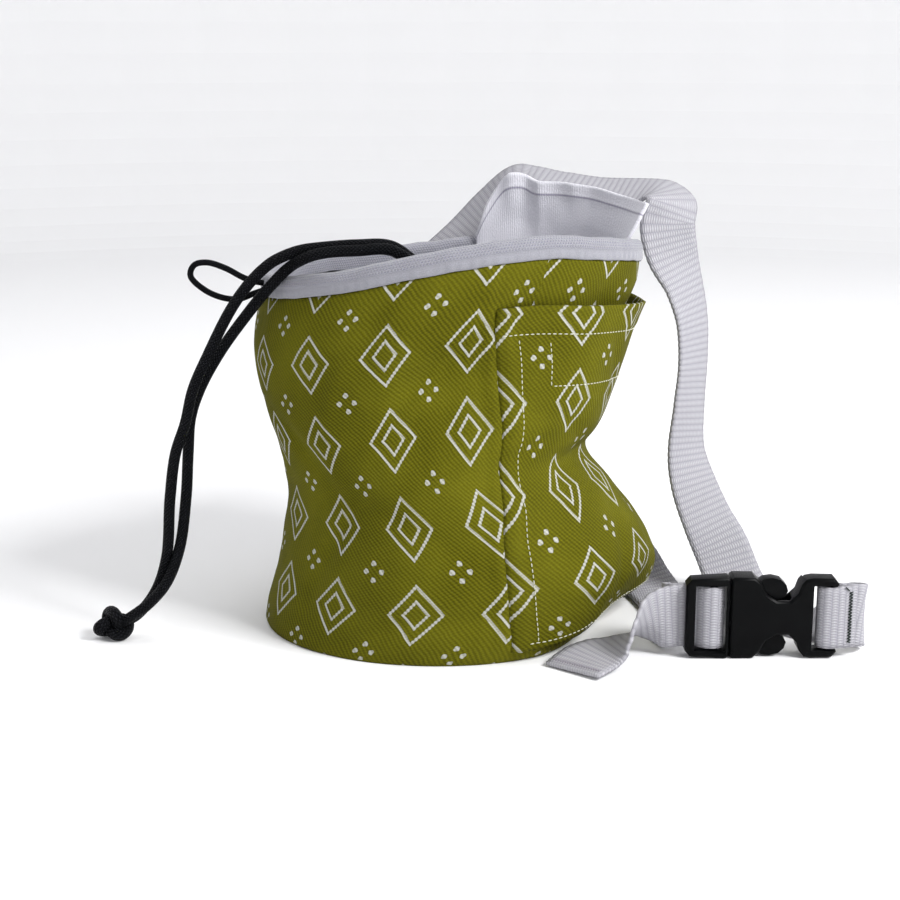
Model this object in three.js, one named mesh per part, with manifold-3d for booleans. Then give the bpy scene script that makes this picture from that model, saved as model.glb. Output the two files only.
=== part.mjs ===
import * as THREE from "three";
import { mergeVertices } from "three/addons/utils/BufferGeometryUtils.js";
import Module from "manifold-3d";

// Climbing chalk bag with waist belt. Millimetres, +Z up, the bag stands on Z = 0, the side that
// is seen faces -Y. Angles run round the bag from its right end: 90 is the back, 180 the left
// end, 270 the front. Levels run from 0 at the base to 1 at the seam under the rim band.

// Driving sizes
const BODY_TURN_DEG = 12;
const BODY_WIDTH = 160;
const BODY_DEPTH = 140;
const RIM_HEIGHT = 148;
const SHELL_WALL = 1.6;
const LINING_WALL = 1.6;
const FLOOR_WALL = 2.2;
const CLEAR = 0.3;
const AROUND = 40;
const CLIMB = [0.06, 0.13, 0.2, 0.28, 0.36, 0.42, 0.48, 0.54, 0.61, 0.69, 0.78, 0.87, 0.94, 1];
const BAND_HEIGHT = 8.6;
const BAND_WALL = 5.8;
const POCKET_WALL = 1.3;
const POCKET_STAND_OFF = 5;
const POCKET_GAPE = 5.5;
const COLLAR_WALL = 1.8;
const WEB_WIDTH = 25;
const WEB_WALL = 1.5;
const CORD_DIAMETER = 4.4;
const LOOP_CORD_DIAMETER = 2.4;
const BUCKLE_LEFT = 91.4;
const BUCKLE_LENGTH = 59;
const BUCKLE_HEIGHT = 33;
const BUCKLE_FRONT = -62;
const BUCKLE_DEPTH = 10.4;
const FRAME_DEPTH = 7.4;
const FRAME_BAR = 3.6;

const rad = THREE.MathUtils.degToRad;
const lerp = THREE.MathUtils.lerp;
const wasm = await Module();
wasm.setup();

// A table is a line of column names and its rows, turned into one record for each row
function table(columns, rows) {
  const names = columns.split(" ");
  return rows.map((row) => Object.fromEntries(names.map((name, i) => [name, row[i]])));
}

// Body outline at each level: the furthest left and right as shares of the width, front and back of
// the depth
const LEVELS = table("level left right front back", [
  [0.00, -0.485, 0.494, -0.5, 0.457],
  [0.06, -0.478, 0.537, -0.507, 0.479],
  [0.17, -0.45, 0.531, -0.5, 0.486],
  [0.28, -0.431, 0.481, -0.486, 0.471],
  [0.38, -0.425, 0.412, -0.471, 0.443],
  [0.49, -0.438, 0.362, -0.45, 0.414],
  [0.60, -0.463, 0.388, -0.429, 0.4],
  [0.72, -0.487, 0.412, -0.414, 0.393],
  [0.84, -0.497, 0.438, -0.407, 0.393],
  [0.94, -0.487, 0.478, -0.4, 0.393],
  [1.00, -0.469, 0.487, -0.393, 0.386],
]);

// Height of the seam under the rim band, as a share of the rim height, round the mouth
const RIM_LINE = table("angle share", [
  [0, 0.985], [35, 0.995], [65, 0.975], [95, 0.945], [135, 0.935], [170, 0.925], [195, 0.925],
  [225, 0.955], [250, 1.0], [270, 1.03], [290, 1.042], [312, 1.025], [335, 1.005],
]);

// How far the base edge stands off the ground, where the corner of the bag is turned up, as a share
// of the depth
const BASE_LIFT = table("angle lift", [
  [0, 0.05], [40, 0.021], [90, 0], [180, 0], [265, 0], [295, 0.011], [325, 0.05],
]);

// Dents and folds: angle and level of the middle, depth as a share of the bag's, half spread each way
const DENTS = table("angle level depth wide tall", [
  [268, 0.70, 0.046, 17, 0.10],
  [250, 0.60, 0.029, 16, 0.09],
  [290, 0.86, 0.021, 12, 0.10],
  [302, 0.46, 0.025, 20, 0.05],
  [325, 0.48, 0.032, 20, 0.05],
  [352, 0.48, 0.021, 18, 0.06],
  [318, 0.90, 0.018, 10, 0.07],
  [322, 0.02, 0.079, 24, 0.13],
  [215, 0.42, 0.021, 20, 0.12],
  [240, 0.22, -0.014, 22, 0.12],
  [285, 0.24, -0.014, 26, 0.12],
  [160, 0.55, 0.025, 24, 0.14],
  [60, 0.50, 0.032, 22, 0.12],
  [110, 0.30, -0.018, 30, 0.16],
  [100, 0.74, 0.018, 20, 0.12],
]);

// Value of a column at a place in a table, smooth between rows
function smoothAt(rows, key, column, at) {
  const last = rows.length - 1;
  const k = Math.max(0, Math.min(last - 1, rows.findLastIndex((row) => row[key] <= at)));
  const span = rows[k + 1][key] - rows[k][key];
  const t = THREE.MathUtils.clamp((at - rows[k][key]) / span, 0, 1);
  const slope = (i) => {
    const low = Math.max(0, i - 1);
    const high = Math.min(last, i + 1);
    return (rows[high][column] - rows[low][column]) / (rows[high][key] - rows[low][key]);
  };
  const [a, b] = [rows[k][column], rows[k + 1][column]];
  const [sa, sb] = [slope(k) * span, slope(k + 1) * span];
  return a + sa * t + (3 * (b - a) - 2 * sa - sb) * t ** 2 + (2 * (a - b) + sa + sb) * t ** 3;
}

// The same for a table that runs once round the bag
function roundAt(rows, column, angle) {
  const whole = [-1, 0, 1].flatMap((turn) =>
    rows.map((row) => ({ angle: row.angle + 360 * turn, value: row[column] })));
  return smoothAt(whole, "angle", "value", THREE.MathUtils.euclideanModulo(angle, 360));
}

const angleGap = (a, b) => THREE.MathUtils.euclideanModulo(a - b + 180, 360) - 180;
const bump = (x) => Math.exp(-x * x);
const rimHeight = (angle) => RIM_HEIGHT * roundAt(RIM_LINE, "share", angle);

// Point of the body's outer face, moved inward by inset and up by rise
function bodyPoint(angle, level, inset, rise) {
  const at = (column) => smoothAt(LEVELS, "level", column, level)
    * (column === "left" || column === "right" ? BODY_WIDTH : BODY_DEPTH);
  const middle = new THREE.Vector2(at("left") + at("right"), at("front") + at("back")).divideScalar(2);
  const out = new THREE.Vector2(
    Math.cos(rad(angle)) * (at("right") - at("left")) / 2,
    Math.sin(rad(angle)) * (at("back") - at("front")) / 2,
  ).rotateAround(new THREE.Vector2(), rad(BODY_TURN_DEG));
  const dent = DENTS.reduce((sum, row) => sum + row.depth * BODY_DEPTH
    * bump(angleGap(angle, row.angle) / row.wide) * bump((level - row.level) / row.tall), 0);
  out.setLength(out.length() - dent - inset);
  const corner = Math.max(0, BODY_DEPTH * roundAt(BASE_LIFT, "lift", angle));
  const lift = corner * Math.max(0, 1 - level / 0.2);
  return new THREE.Vector3(middle.x + out.x, middle.y + out.y, lift + level * rimHeight(angle) + rise);
}

// Mesh of one body from its points and triangles, turned inside out if it faces inward
function solid(name, points, faces, material) {
  const geometry = new THREE.BufferGeometry();
  geometry.setAttribute("position", new THREE.Float32BufferAttribute(points.flatMap((p) => p.toArray()), 3));
  const volume = faces.reduce((sum, [a, b, c]) =>
    sum + points[a].dot(new THREE.Vector3().crossVectors(points[b], points[c])), 0);
  geometry.setIndex(faces.flatMap((f) => (volume < 0 ? [f[0], f[2], f[1]] : f)));
  geometry.computeVertexNormals();
  const mesh = new THREE.Mesh(geometry, material);
  mesh.name = name;
  return mesh;
}

// Solid through rings of equal count, capped at both ends, or joined round when looped
function ringSolid(name, rings, looped, material) {
  const count = rings[0].length;
  const points = rings.flat();
  const faces = [];
  for (let r = 0; r < rings.length - (looped ? 0 : 1); r += 1) {
    const next = (r + 1) % rings.length;
    for (let i = 0; i < count; i += 1) {
      const j = (i + 1) % count;
      const [a, b, c, d] = [r * count + i, r * count + j, next * count + j, next * count + i];
      if (points[d].z < points[a].z) faces.push([a, b, d], [b, c, d]);
      else faces.push([a, b, c], [a, c, d]);
    }
  }
  if (!looped) {
    for (const [ring, flip] of [[0, true], [rings.length - 1, false]]) {
      const centre = points.length;
      points.push(rings[ring].reduce((sum, p) => sum.add(p), new THREE.Vector3()).divideScalar(count));
      for (let i = 0; i < count; i += 1) {
        const [a, b] = [ring * count + i, ring * count + (i + 1) % count];
        faces.push(flip ? [centre, b, a] : [centre, a, b]);
      }
    }
  }
  return solid(name, points, faces, material);
}

// Solid sheet: point(u, v, side) gives both faces at the places listed, the four edges close it
function sheetSolid(name, uPlaces, vPlaces, point, material) {
  const [uLast, vLast] = [uPlaces.length - 1, vPlaces.length - 1];
  const points = [0, 1].flatMap((side) => uPlaces.flatMap((u) => vPlaces.map((v) => point(u, v, side))));
  const index = (u, v, side) => (side * (uLast + 1) + u) * (vLast + 1) + v;
  const faces = [];
  const quad = (a, b, c, d) => faces.push([a, b, c], [a, c, d]);
  for (let u = 0; u < uLast; u += 1) {
    for (let v = 0; v < vLast; v += 1) {
      const [near, far] = [0, 1].map((side) => [
        index(u, v, side), index(u + 1, v, side), index(u + 1, v + 1, side), index(u, v + 1, side)]);
      faces.push([near[0], near[1], near[2]], [near[0], near[2], near[3]]);
      faces.push([far[0], far[2], far[1]], [far[0], far[3], far[2]]);
    }
    quad(index(u, 0, 0), index(u, 0, 1), index(u + 1, 0, 1), index(u + 1, 0, 0));
    quad(index(u, vLast, 0), index(u + 1, vLast, 0), index(u + 1, vLast, 1), index(u, vLast, 1));
  }
  for (let v = 0; v < vLast; v += 1) {
    quad(index(0, v, 0), index(0, v + 1, 0), index(0, v + 1, 1), index(0, v, 1));
    quad(index(uLast, v, 0), index(uLast, v, 1), index(uLast, v + 1, 1), index(uLast, v + 1, 0));
  }
  return solid(name, points, faces, material);
}

const even = (steps) => Array.from({ length: steps + 1 }, (_, i) => i / steps);

// Cloth, plastic and cord, one material for each piece
function surface(colour, roughness) {
  return new THREE.MeshStandardMaterial({ color: colour, roughness, metalness: 0 });
}

const group = new THREE.Group();
group.name = "chalk_bag";

const ringAngles = Array.from({ length: AROUND }, (_, i) => (i * 360) / AROUND);
const ring = (level, inset, rise) => ringAngles.map((angle) => bodyPoint(angle, level, inset, rise));

// Ring of the base, drawn in toward the middle to a share of the outline, level with the ground
function baseRing(share, inset, height) {
  const edge = ring(0, inset, 0);
  const centre = edge.reduce((sum, p) => sum.add(p), new THREE.Vector3()).divideScalar(edge.length);
  return edge.map((p) => new THREE.Vector3(
    lerp(centre.x, p.x, share), lerp(centre.y, p.y, share), height));
}

// Cup of one cloth wall between two insets, with its own floor
function clothCup(name, outer, inner, floorLow, floorHigh, material) {
  return ringSolid(name, [
    baseRing(0.84, outer, floorLow),
    ring(0, outer, floorLow),
    ...CLIMB.map((level) => ring(level, outer, 0)),
    ...CLIMB.map((level) => ring(level, inner, 0)).reverse(),
    ring(0, inner, floorHigh),
    baseRing(0.84, inner, floorHigh),
  ], false, material);
}

// Printed twill shell and, a little inside it, the fleece lining
const liningOuter = SHELL_WALL + CLEAR;
const liningInner = liningOuter + LINING_WALL;
const liningFloor = FLOOR_WALL + CLEAR;
group.add(clothCup("bag_shell", 0, SHELL_WALL, 0, FLOOR_WALL, surface(0x76721c, 0.85)));
group.add(clothCup("fleece_lining", liningOuter, liningInner, liningFloor,
  liningFloor + LINING_WALL, surface(0xc9cad6, 0.95)));

// Knitted rim band, folded over the top of shell and lining: share of its wall outward, of its height
const BAND_SECTION = table("out up", [
  [0.16, 0.04], [0.24, 0.30], [0.22, 0.66], [0.08, 0.90], [-0.26, 1.0],
  [-0.60, 0.93], [-0.78, 0.70], [-0.80, 0.34], [-0.72, 0.04],
]);
group.add(ringSolid("rim_band", BAND_SECTION.map((row) =>
  ring(1, -row.out * BAND_WALL, row.up * BAND_HEIGHT)), true, surface(0xbabaca, 0.95)));

// Pocket laid over the right side of the shell, sewn at its ends and foot, open at the top
const POCKET_SEAM = table("level angle", [
  [0, 275.5], [0.15, 271], [0.3, 272.5], [0.4, 278], [0.5, 282.4], [0.7, 281.6], [0.885, 277.4], [1, 273.5],
]);
const POCKET_END = 424;
const POCKET_FOOT = 0.03;
const POCKET_TOP = 0.885;
const pocketAngles = ringAngles.flatMap((angle) => [angle, angle + 360])
  .filter((angle) => angle > 284 && angle < POCKET_END).sort((a, b) => a - b);
const pocketLevels = CLIMB.filter((level) => level > POCKET_FOOT && level < POCKET_TOP);
// Below 1 a place is a share of the way from the seam to the first whole column
const pocketAcross = [0, 0.5, ...pocketAngles, POCKET_END];
group.add(sheetSolid("pocket_panel", pocketAcross, [POCKET_FOOT, ...pocketLevels, POCKET_TOP],
  (at, level, side) => {
    const seam = smoothAt(POCKET_SEAM, "level", "angle", level);
    const angle = at < 1 ? lerp(seam, pocketAngles[0], at) : at;
    const swell = Math.min(1, 1.4 * Math.sin((Math.PI * (angle - 284)) / (POCKET_END - 284)));
    const wide = POCKET_STAND_OFF * Math.max(0, swell) + POCKET_GAPE * bump((angle - 388) / 24);
    const open = wide * THREE.MathUtils.smoothstep(level, 0.5, 0.86);
    return bodyPoint(angle, level, -(2.5 * CLEAR + open + side * POCKET_WALL), 0);
  }, surface(0x76721c, 0.85)));

// Soft closure collar standing up at the back of the mouth, along the inside of the rim band
const COLLAR_LINE = table("u angle lean top", [
  [0.00, 73, 0, 0.05], [0.08, 69, 1, 0.45], [0.18, 63, 2, 0.86], [0.28, 57, 3, 0.92], [0.38, 51, 1, 0.78],
  [0.55, 39, 0, 0.72], [0.75, 22, -2, 0.66], [1.00, -4, -6, 0.58],
]);
const COLLAR_RISE = 27;
const COLLAR_ROOT = -6;
group.add(sheetSolid("closure_collar", even(22), even(5), (u, v, side) => {
  const angle = smoothAt(COLLAR_LINE, "u", "angle", u);
  const lean = smoothAt(COLLAR_LINE, "u", "lean", u);
  const top = smoothAt(COLLAR_LINE, "u", "top", u);
  const up = COLLAR_ROOT + v * (COLLAR_RISE * top + BAND_HEIGHT - COLLAR_ROOT);
  const fold = 2.4 * bump((u - 0.3) / 0.06) * v;
  const inset = BAND_WALL * 0.8 + CLEAR + 0.4 + side * COLLAR_WALL + 2 * lean * Math.max(0, v - 0.5) - fold;
  return bodyPoint(angle, 1, inset, up);
}, surface(0xb4b4c4, 0.95)));

// Belt webbing from the buckle's right bar to its free end: centre of each station, way of its width.
// At the bars the places are counted from the buckle's ends, front and middle height
const mid = BUCKLE_HEIGHT / 2;
const STATION = "x y z wx wy wz";
const RIGHT_BAR = table(STATION, [
  [7.6, 3.4, 0, 0, 0, 1], [3.6, 2.3, 0, 0, 0, 1], [-0.2, 1.3, 0, 0, 0, 1], [-4.6, 1.3, 0, 0, 0, 1],
  [-7.2, 4, 0, 0, 0, 1], [-4.6, 6.8, 0, 0, 0, 1], [0.1, 6.6, 0, 0, 0, 1], [6.1, 5.7, 0, 0, 0, 1],
  [10.4, 7.4, -1, 0, 0, 1],
]);
const LEFT_BAR = table(STATION, [
  [-6.6, 12.5, -2.3, 0, 0, 1], [-4.4, 7.8, -0.7, 0, 0, 1], [-0.4, 6.7, 0, 0, 0, 1],
  [4.6, 6.8, 0, 0, 0, 1], [11.8, 6.8, 0, 0, 0, 1], [14.8, 4, 0, 0, 0, 1], [11.8, 1.3, 0, 0, 0, 1],
  [8.2, 1.6, 0, 0, 0, 1], [5.1, 3.7, 0, 0, 0, 1], [1.6, 4.7, 0, 0, 0, 1], [-5.4, 3.7, -0.2, 0, 0, 1],
]);

// Elsewhere they are shares of the bag's width, depth and rim height
const AROUND_BAG = table(STATION, [
  [1.0162, -0.35, 0.0946, 0, 0, 1], [0.9938, -0.2964, 0.0777, 0.15, 0.3, 0.85],
  [0.9437, -0.2429, 0.0493, 0.4, 0.75, 0.48], [0.8875, -0.1857, 0.0189, 0.6, 0.8, 0.12],
  [0.8344, -0.1071, 0.0108, 0.82, 0.56, 0], [0.7906, -0.0143, 0.0203, 0.95, 0.3, 0],
  [0.7562, 0.0571, 0.0743, 1, 0.1, 0], [0.7281, 0.1071, 0.1486, 0.98, 0.15, 0],
  [0.6906, 0.1429, 0.2297, 0.9, 0.42, 0], [0.6562, 0.1714, 0.3243, 0.82, 0.57, 0],
  [0.6375, 0.2, 0.4189, 0.68, 0.73, 0], [0.6438, 0.2214, 0.5541, 0.6, 0.8, 0],
  [0.6519, 0.2357, 0.6757, 0.57, 0.82, 0], [0.6462, 0.2429, 0.7973, 0.6, 0.8, 0],
  [0.6219, 0.2464, 0.8986, 0.7, 0.7, 0], [0.5875, 0.25, 0.9932, 0.92, 0.39, 0],
  [0.575, 0.2571, 1.0676, 0.96, 0.28, 0], [0.5862, 0.275, 1.1318, 0.85, 0.52, 0.02],
  [0.5594, 0.3143, 1.1568, 0.5, 0.83, 0.2], [0.5, 0.3536, 1.1514, 0.2, 0.92, 0.33],
  [0.4125, 0.3929, 1.1486, 0.05, 0.93, 0.36], [0.3063, 0.4357, 1.1622, 0, 0.93, 0.36],
  [0.225, 0.4679, 1.1743, -0.03, 0.93, 0.36], [0.1781, 0.4857, 1.1662, -0.2, 0.88, 0.42],
  [0.1094, 0.5036, 1.0946, -0.36, 0.84, 0.42], [0.0406, 0.5036, 1.0101, -0.5, 0.78, 0.36],
  [-0.0437, 0.4679, 0.9189, -0.82, 0.5, 0.22], [-0.1344, 0.4257, 0.8277, -0.9, -0.4, 0.1],
  [-0.2013, 0.3529, 0.7365, -0.9, -0.5, 0], [-0.2081, 0.3457, 0.65, -0.932, -0.363, 0],
  [-0.2087, 0.3586, 0.5743, -0.925, -0.381, 0], [-0.2106, 0.3714, 0.5068, -0.915, -0.404, 0],
  [-0.2031, 0.4043, 0.4122, -0.93, -0.36, 0], [-0.1906, 0.4607, 0.3209, -0.97, -0.2, 0.1],
  [-0.1625, 0.5286, 0.2297, -0.92, 0, 0.4], [-0.0875, 0.6, 0.1419, -0.6, 0.1, 0.8],
  [0.0312, 0.65, 0.0919, -0.15, 0, 1], [0.175, 0.6286, 0.0872, 0, 0, 1],
  [0.2875, 0.5571, 0.0872, 0, 0, 1], [0.3812, 0.4679, 0.0872, 0, 0, 1],
  [0.4437, 0.3857, 0.0865, 0.1, 0.05, 1], [0.4906, 0.3, 0.0669, 0.6, 0.3, 0.72],
  [0.5281, 0.2071, 0.0257, 0.95, 0.25, 0.2], [0.5563, 0.1071, 0.0108, 1, 0.1, 0],
  [0.575, 0.0071, 0.0095, 1, -0.1, 0], [0.585, -0.0857, 0.0115, 1, -0.15, 0.04],
  [0.5862, -0.1714, 0.0284, 0.98, -0.2, 0.2], [0.5687, -0.2464, 0.0568, 0.75, -0.3, 0.6],
  [0.5406, -0.3107, 0.0838, 0.2, -0.05, 0.97],
]);
const FREE_END = table(STATION, [
  [0.4969, -0.425, 0.1041, 0, -0.25, 0.97], [0.4594, -0.4343, 0.0851, 0, -0.75, 0.65],
  [0.4281, -0.4429, 0.0595, 0.02, -0.97, 0.25], [0.3969, -0.4536, 0.0378, 0.12, -0.99, 0],
  [0.3625, -0.4729, 0.027, 0.25, -0.96, -0.1], [0.3281, -0.5057, 0.0196, 0.4, -0.9, -0.1],
  [0.2906, -0.5571, 0.0108, 0.6, -0.8, 0],
]);
const atBar = (rows, end) => rows.map((row) =>
  ({ ...row, x: end + row.x, y: BUCKLE_FRONT + row.y, z: mid + row.z }));
const onBag = (rows) => rows.map((row) =>
  ({ ...row, x: BODY_WIDTH * row.x, y: BODY_DEPTH * row.y, z: RIM_HEIGHT * row.z }));
const BELT = [
  ...atBar(RIGHT_BAR, BUCKLE_LEFT + BUCKLE_LENGTH),
  ...onBag(AROUND_BAG),
  ...atBar(LEFT_BAR, BUCKLE_LEFT),
  ...onBag(FREE_END),
];

// Stretches of the belt, each a piece from one station to another
const STRETCHES = table("name from to steps", [
  ["belt_strap", 0, 24, 66],
  ["belt_top", 24, 35, 30],
  ["belt_back", 35, 65, 70],
  ["belt_tail", 65, BELT.length - 1, 26],
]);
const beltCentre = new THREE.CatmullRomCurve3(BELT.map((row) => new THREE.Vector3(row.x, row.y, row.z)));
const beltAcross = new THREE.CatmullRomCurve3(BELT.map((row) => new THREE.Vector3(row.wx, row.wy, row.wz)));

// Edge point of the belt at a place along it, v across its width, side through its wall
function beltPoint(place, v, side) {
  const t = place / (BELT.length - 1);
  const along = beltCentre.getTangent(t);
  const wide = beltAcross.getPoint(t);
  wide.addScaledVector(along, -wide.dot(along)).normalize();
  const thick = new THREE.Vector3().crossVectors(along, wide);
  return beltCentre.getPoint(t).addScaledVector(wide, (v - 0.5) * WEB_WIDTH)
    .addScaledVector(thick, (side - 0.5) * WEB_WALL);
}

for (const row of STRETCHES) {
  const near = beltCentre.getPoint(row.to / (BELT.length - 1));
  const ahead = beltCentre.getPoint((row.to - 0.01) / (BELT.length - 1));
  const end = row.to === BELT.length - 1 ? row.to : row.to - (0.01 * CLEAR) / near.distanceTo(ahead);
  group.add(sheetSolid(row.name, even(row.steps), [0, 1],
    (u, v, side) => beltPoint(lerp(row.from, end, u), v, side), surface(0xc9c8ce, 0.8)));
}

// Belt loop sewn on the back of the bag at both ends, standing off just enough for the belt
const LOOP_FROM = 81;
const LOOP_TO = 126;
const LOOP_LEVELS = [0.54, 0.61, 0.69];
const LOOP_STAND_OFF = 3.6;
const loopAngles = ringAngles.filter((angle) => angle > LOOP_FROM && angle < LOOP_TO);
group.add(sheetSolid("belt_loop", [LOOP_FROM, ...loopAngles, LOOP_TO], LOOP_LEVELS, (angle, level, side) => {
  const ends = THREE.MathUtils.smoothstep(Math.min(angle - LOOP_FROM, LOOP_TO - angle), 0, 9);
  return bodyPoint(angle, level, -(CLEAR + LOOP_STAND_OFF * ends + side * WEB_WALL), 0);
}, surface(0xc9c8ce, 0.8)));

// Round cord through hand-chosen points
function cord(name, points, steps, diameter) {
  const path = new THREE.CatmullRomCurve3(points.map((p) => new THREE.Vector3(...p)));
  const section = new THREE.Shape();
  for (let i = 0; i < 8; i += 1) {
    const place = [Math.cos((i * Math.PI) / 4) * diameter / 2, Math.sin((i * Math.PI) / 4) * diameter / 2];
    if (i) section.lineTo(...place);
    else section.moveTo(...place);
  }
  section.closePath();
  const geometry = new THREE.ExtrudeGeometry(section, { steps, extrudePath: path, bevelEnabled: false });
  const mesh = new THREE.Mesh(geometry, surface(0x101012, 0.7));
  mesh.name = name;
  return mesh;
}

// Two strands of the drawcord, out of the mouth, over the left of the rim and down to the knot
group.add(cord("drawcord_strand_a", [
  [-12, -37.5, 151], [-22.5, -39, 158.2], [-35.3, -40.5, 158.8], [-47.1, -40.5, 158], [-57.2, -38.3, 156.4],
  [-64.7, -37, 153.6], [-69.7, -35.5, 150.6], [-77.1, -36, 143.6], [-84.3, -38, 133.7], [-93.4, -40, 116.3],
  [-99.5, -41.2, 102.9], [-102.9, -41.4, 89.7], [-107.4, -40.5, 77], [-110.4, -39.5, 58.3],
  [-112.9, -38, 34.2], [-118.5, -35.8, 18.6], [-126.8, -35, 8.4],
], 46, CORD_DIAMETER));
group.add(cord("drawcord_strand_b", [
  [-11, -43, 150], [-22.3, -44.4, 157.3], [-35.1, -45.6, 157.3], [-46.8, -45.4, 156.5],
  [-53.8, -43.7, 154.6], [-61.9, -38.2, 149.6], [-70.4, -37.2, 141], [-76.4, -35.8, 133.9],
  [-89, -35.8, 117.1],
  [-97.6, -36, 102], [-101.6, -36.2, 90.5], [-103, -36.2, 77], [-104.5, -36.8, 57.8],
  [-107.6, -38.8, 37.6], [-113, -41, 24.1], [-120.4, -42.2, 15.6], [-126.6, -42.4, 11],
], 46, CORD_DIAMETER));

// Overhand knot in the two strands, resting on the ground
const knot = new THREE.Mesh(new THREE.SphereGeometry(1, 14, 9), surface(0x101012, 0.7));
knot.geometry.scale(8, 7, 6.7);
knot.geometry.translate(-135.4, -38.6, 6.45);
knot.name = "drawcord_knot";
group.add(knot);

// Small loop of thin cord sewn in at the left end of the rim
group.add(cord("rim_cord_loop", [
  [-73, -23.3, 139], [-76.8, -24.2, 137.8], [-82.2, -26, 136], [-88, -26, 136.2], [-95.6, -26, 139.3],
  [-101.2, -26, 145], [-99.6, -26, 149.2], [-94.6, -26, 150.2], [-87.5, -26, 148], [-81, -25, 144.3],
  [-76.6, -22.7, 142.3], [-73.4, -21.6, 141.6],
], 28, LOOP_CORD_DIAMETER));

// Flat outline in the buckle's own plane, given depth from the front face
function plate(outline, front, depth, bevel) {
  const shape = new THREE.Shape(outline.map(([x, z]) => new THREE.Vector2(x, z)));
  const geometry = new THREE.ExtrudeGeometry(shape, {
    depth: depth - 2 * bevel, bevelEnabled: bevel > 0, bevelThickness: bevel, bevelSize: bevel,
    bevelOffset: -bevel, bevelSegments: 1, curveSegments: 6,
  });
  geometry.rotateX(Math.PI / 2);
  geometry.translate(0, front + depth - bevel, 0);
  return toManifold(geometry);
}

function toManifold(geometry) {
  geometry.deleteAttribute("normal");
  geometry.deleteAttribute("uv");
  const merged = mergeVertices(geometry, 1e-4);
  return new wasm.Manifold(new wasm.Mesh({
    numProp: 3,
    vertProperties: new Float32Array(merged.attributes.position.array),
    triVerts: new Uint32Array(merged.index.array),
  }));
}

function fromManifold(name, body, material) {
  const mesh = body.getMesh();
  const geometry = new THREE.BufferGeometry();
  geometry.setAttribute("position", new THREE.BufferAttribute(new Float32Array(mesh.vertProperties), 3));
  geometry.setIndex(new THREE.BufferAttribute(new Uint32Array(mesh.triVerts), 1));
  geometry.computeVertexNormals();
  const out = new THREE.Mesh(geometry, material);
  out.name = name;
  return out;
}

// Block from its low and high corners
function block(low, high) {
  const geometry = new THREE.BoxGeometry(high[0] - low[0], high[1] - low[1], high[2] - low[2]);
  geometry.translate((low[0] + high[0]) / 2, (low[1] + high[1]) / 2, (low[2] + high[2]) / 2);
  return toManifold(geometry);
}

// Female half: a sleeve with a finger cut-out above and below, and the frame of the fixed bar
const femaleLeft = BUCKLE_LEFT + 17.3;
const femaleRight = BUCKLE_LEFT + BUCKLE_LENGTH;
const cutFrom = femaleLeft + 0.278 * (femaleRight - femaleLeft);
const cutTo = femaleLeft + 0.662 * (femaleRight - femaleLeft);
const cutLong = cutTo - cutFrom;
const cutDeep = 9.6;
const half = BUCKLE_HEIGHT / 2;
const EDGE = table("x drop", [
  [femaleLeft, 0.9], [femaleLeft + 1.2, 0], [lerp(femaleLeft, cutFrom, 0.78), 0.1], [cutFrom, 2.4],
  [cutFrom + 0.16 * cutLong, cutDeep - 2.4], [cutFrom + 0.4 * cutLong, cutDeep],
  [cutTo - 0.29 * cutLong, cutDeep], [cutTo - 0.1 * cutLong, cutDeep - 3], [cutTo - 0.025 * cutLong, 3],
  [cutTo + 0.09 * cutLong, 0.8], [cutTo + 0.25 * cutLong, 0.3], [femaleRight - 1.8, 0.5], [femaleRight, 2.6],
]);
const upper = EDGE.map((row) => [row.x, BUCKLE_HEIGHT - row.drop]);
const lower = EDGE.map((row) => [row.x, row.drop]).reverse();
const windowLeft = femaleRight - 9.8;
const barFront = BUCKLE_FRONT + 2.9;
const barBack = barFront + 2.3;
const webGap = WEB_WIDTH / 2 + 0.7;
let female = plate([...upper, ...lower], BUCKLE_FRONT, BUCKLE_DEPTH, 0.9);
female = female.subtract(block(
  [cutTo + 0.06 * cutLong, BUCKLE_FRONT + FRAME_DEPTH, -5], [femaleRight + 5, 0, BUCKLE_HEIGHT + 5]));
female = female.subtract(block(
  [windowLeft, BUCKLE_FRONT - 5, mid - webGap], [femaleRight - FRAME_BAR, 0, mid + webGap]));
female = female.subtract(block(
  [femaleRight - FRAME_BAR - 1, BUCKLE_FRONT - 5, mid - webGap], [femaleRight + 5, barFront, mid + webGap]));
female = female.subtract(block(
  [femaleRight - FRAME_BAR - 1, barBack, mid - webGap], [femaleRight + 5, 0, mid + webGap]));
const cavityFront = BUCKLE_FRONT + 2.2;
const cavityBack = BUCKLE_FRONT + BUCKLE_DEPTH - 2.2;
female = female.subtract(block(
  [femaleLeft - 5, cavityFront, 2.2], [cutTo - 0.225 * cutLong, cavityBack, BUCKLE_HEIGHT - 2.2]));
group.add(fromManifold("buckle_female", female, surface(0x0d0e11, 0.45)));

// Male half: the adjuster frame, two spring arms with catches, and the middle guide
const maleRight = femaleLeft - CLEAR;
let male = plate([
  [BUCKLE_LEFT, 3.2], [BUCKLE_LEFT + 2, 0.8], [maleRight - 1, 0], [maleRight, 0.8],
  [maleRight, BUCKLE_HEIGHT - 0.8], [maleRight - 1, BUCKLE_HEIGHT], [BUCKLE_LEFT + 2, BUCKLE_HEIGHT - 0.8],
  [BUCKLE_LEFT, BUCKLE_HEIGHT - 3.2],
], BUCKLE_FRONT, FRAME_DEPTH, 0.7);
male = male.subtract(block(
  [BUCKLE_LEFT + FRAME_BAR, BUCKLE_FRONT - 5, mid - webGap], [maleRight - 1.2, 0, mid + webGap]));
male = male.subtract(block(
  [BUCKLE_LEFT - 5, BUCKLE_FRONT + 3.2, mid - webGap], [BUCKLE_LEFT + FRAME_BAR + 1, 0, mid + webGap]));
male = male.add(block(
  [BUCKLE_LEFT + 9.6, barFront, mid - webGap - 1], [BUCKLE_LEFT + 12.4, barBack, mid + webGap + 1]));
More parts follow.
